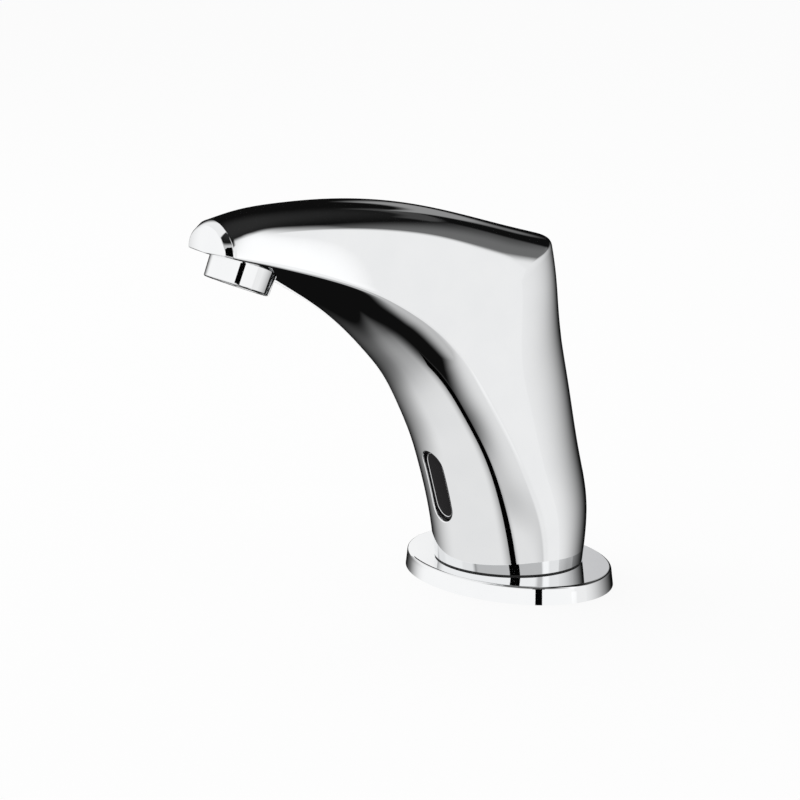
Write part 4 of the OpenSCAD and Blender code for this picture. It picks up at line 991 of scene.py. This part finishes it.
def studio_world():
    """White for the camera, even light for the surfaces and the panels for what is shiny."""
    world = bpy.data.worlds.new("studio")
    bpy.context.scene.world = world
    world.use_nodes = True
    graph = Graph(world.node_tree)
    graph.nodes.clear()
    axes = graph.node("ShaderNodeSeparateXYZ", (),
                      {0: graph.node("ShaderNodeTexCoord").outputs["Generated"]})
    x, y, z = (Value(graph, socket) for socket in axes.outputs)
    cos, sin = math.cos(CAMERA_AZIMUTH), math.sin(CAMERA_AZIMUTH)
    azimuth = graph.maths("DEGREES", graph.maths("ARCTAN2", x * cos + y * sin, x * sin - y * cos))
    elevation = graph.maths("DEGREES", graph.maths("ARCSINE", z))
    light = SHADE_LEVEL + graph.ramp(elevation, CEILING_START, CEILING_END) * CEILING_LEVEL
    for left, left_blur, right, right_blur, *heights, level in STUDIO_PANELS:
        low, low_blur, low_rise, low_bend, high, high_blur, high_rise = heights
        above = elevation - azimuth * low_rise if low_rise else elevation
        below = elevation - azimuth * high_rise if high_rise else elevation
        if low_bend:
            offset = (azimuth - (left + right) / 2) * (1 / BEND_REACH)
            above = above - offset * offset * low_bend
        mask = (graph.ramp(azimuth, left - left_blur, left)
                * (1 - graph.ramp(azimuth, right, right + right_blur))
                * graph.ramp(above, low - low_blur, low)
                * (1 - graph.ramp(below, high, high + high_blur)))
        light = graph.maths("MAXIMUM", light, mask * level)
    path = graph.node("ShaderNodeLightPath").outputs
    shown = graph.maths("MAXIMUM", Value(graph, path["Is Camera Ray"]),
                        Value(graph, path["Is Transmission Ray"]))
    glossy = Value(graph, path["Is Glossy Ray"])
    even = 1 - graph.maths("MAXIMUM", shown, glossy)
    strength = shown + glossy * light + even * EVEN_LIGHT
    background = graph.node("ShaderNodeBackground", (),
                            {"Color": (1, 1, 1, 1), "Strength": strength})
    graph.node("ShaderNodeOutputWorld", (), {"Surface": background.outputs[0]})


def camera():
    """The photograph's camera."""
    data = bpy.data.cameras.new("camera")
    data.lens = CAMERA_LENS
    data.sensor_width = CAMERA_SENSOR
    data.sensor_fit = "HORIZONTAL"
    thing = bpy.data.objects.new("camera", data)
    bpy.context.scene.collection.objects.link(thing)
    thing.location = CAMERA_PLACE
    thing.rotation_euler = (math.pi / 2 - CAMERA_ELEVATION, 0, CAMERA_AZIMUTH)
    bpy.context.scene.camera = thing


def floor():
    """A white floor that keeps a faint shadow of the tap and isn't mirrored by it."""
    mesh = bpy.data.meshes.new("floor")
    corners = [(x * FLOOR_HALF, y * FLOOR_HALF, 0)
               for x, y in ((-1, -1), (1, -1), (1, 1), (-1, 1))]
    mesh.from_pydata(corners, [], [(0, 1, 2, 3)])
    thing = bpy.data.objects.new("floor", mesh)
    bpy.context.scene.collection.objects.link(thing)
    made = Finish("white_floor")
    cloud = made.cloud(3)
    made.set(Base_Color=made.blend(cloud, (0.90, 0.90, 0.90), (0.92, 0.92, 0.92)), Roughness=0.9)
    glow = made.node("ShaderNodeEmission", (), {"Color": (1, 1, 1, 1), "Strength": 1.0})
    seen = Value(made, made.node("ShaderNodeLightPath").outputs["Is Camera Ray"])
    both = made.node("ShaderNodeMixShader", (), {0: seen * FLOOR_WHITE, 1: made.shader.outputs[0],
                                                 2: glow.outputs[0]})
    made.join(both.outputs[0], made.nodes["Material Output"].inputs["Surface"])
    thing.data.materials.append(made.material)
    thing.visible_glossy = False


def card(name, outline, place, material):
    """An upright card that only shiny surfaces show, facing along the camera's azimuth."""
    mesh = bpy.data.meshes.new(name)
    mesh.from_pydata([(x, z, 0) for x, z in outline], [], [tuple(range(len(outline)))])
    mesh.materials.append(material)
    thing = bpy.data.objects.new(name, mesh)
    bpy.context.scene.collection.objects.link(thing)
    thing.location = place
    thing.rotation_euler = (math.pi / 2, 0, CAMERA_AZIMUTH)
    for ray in ("camera", "diffuse", "transmission", "shadow"):
        setattr(thing, "visible_" + ray, False)


def camera_card():
    """The dark upright strip that the chrome shows where the camera stood."""
    made = Finish("black_card")
    made.set(Base_Color=made.blend(made.cloud(5), (0, 0, 0), (0.002, 0.002, 0.002)), Roughness=1.0,
             Specular_IOR_Level=0.0)
    narrow, wide = CARD_WIDTH / 2, CARD_TOP_WIDTH / 2
    right = [(narrow, CARD_LOW), (narrow, CARD_STEP), (wide, CARD_STEP + (wide - narrow)),
             (wide, CARD_HIGH)]
    outline = right + [(-x, z) for x, z in reversed(right)]
    towards = Vector((math.sin(CAMERA_AZIMUTH), -math.cos(CAMERA_AZIMUTH), 0))
    place = CAMERA_PLACE + towards * CARD_BEHIND
    card("camera_card", outline, (place.x, place.y, 0), made.material)


def plate_card():
    """The low pale card behind the tap that the deck plate's top shows, darker to the right."""
    made = Finish("pale_card")
    across = Value(made, made.node("ShaderNodeSeparateXYZ", (), {0: made.place}).outputs[0])
    fade = made.ramp(across, PLATE_CARD_LEFT, PLATE_CARD_RIGHT)
    made.set(Base_Color=(0, 0, 0, 1), Roughness=1.0, Specular_IOR_Level=0.0, Emission_Strength=1.0,
             Emission_Color=made.blend(fade, PLATE_CARD_BRIGHT, PLATE_CARD_DIM))
    outline = [(PLATE_CARD_START, PLATE_CARD_LOW), (PLATE_CARD_END, PLATE_CARD_LOW),
               (PLATE_CARD_END, PLATE_CARD_HIGH), (PLATE_CARD_START, PLATE_CARD_HIGH)]
    away = Vector((-math.sin(CAMERA_AZIMUTH), math.cos(CAMERA_AZIMUTH), 0)) * PLATE_CARD_BEHIND
    card("plate_card", outline, away, made.material)


def soft_lamp(name, place, size, power):
    """A square lamp aimed at the origin, which the chrome doesn't mirror."""
    data = bpy.data.lights.new(name, "AREA")
    data.size = size
    data.energy = power
    thing = bpy.data.objects.new(name, data)
    bpy.context.scene.collection.objects.link(thing)
    thing.location = place
    thing.rotation_euler = (-Vector(place)).to_track_quat("-Z", "Y").to_euler()
    thing.visible_glossy = False


studio_world()
camera()
floor()
camera_card()
plate_card()
soft_lamp("soft_lamp", LAMP_PLACE, LAMP_SIZE, LAMP_POWER)
bpy.context.scene.view_settings.view_transform = "Standard"
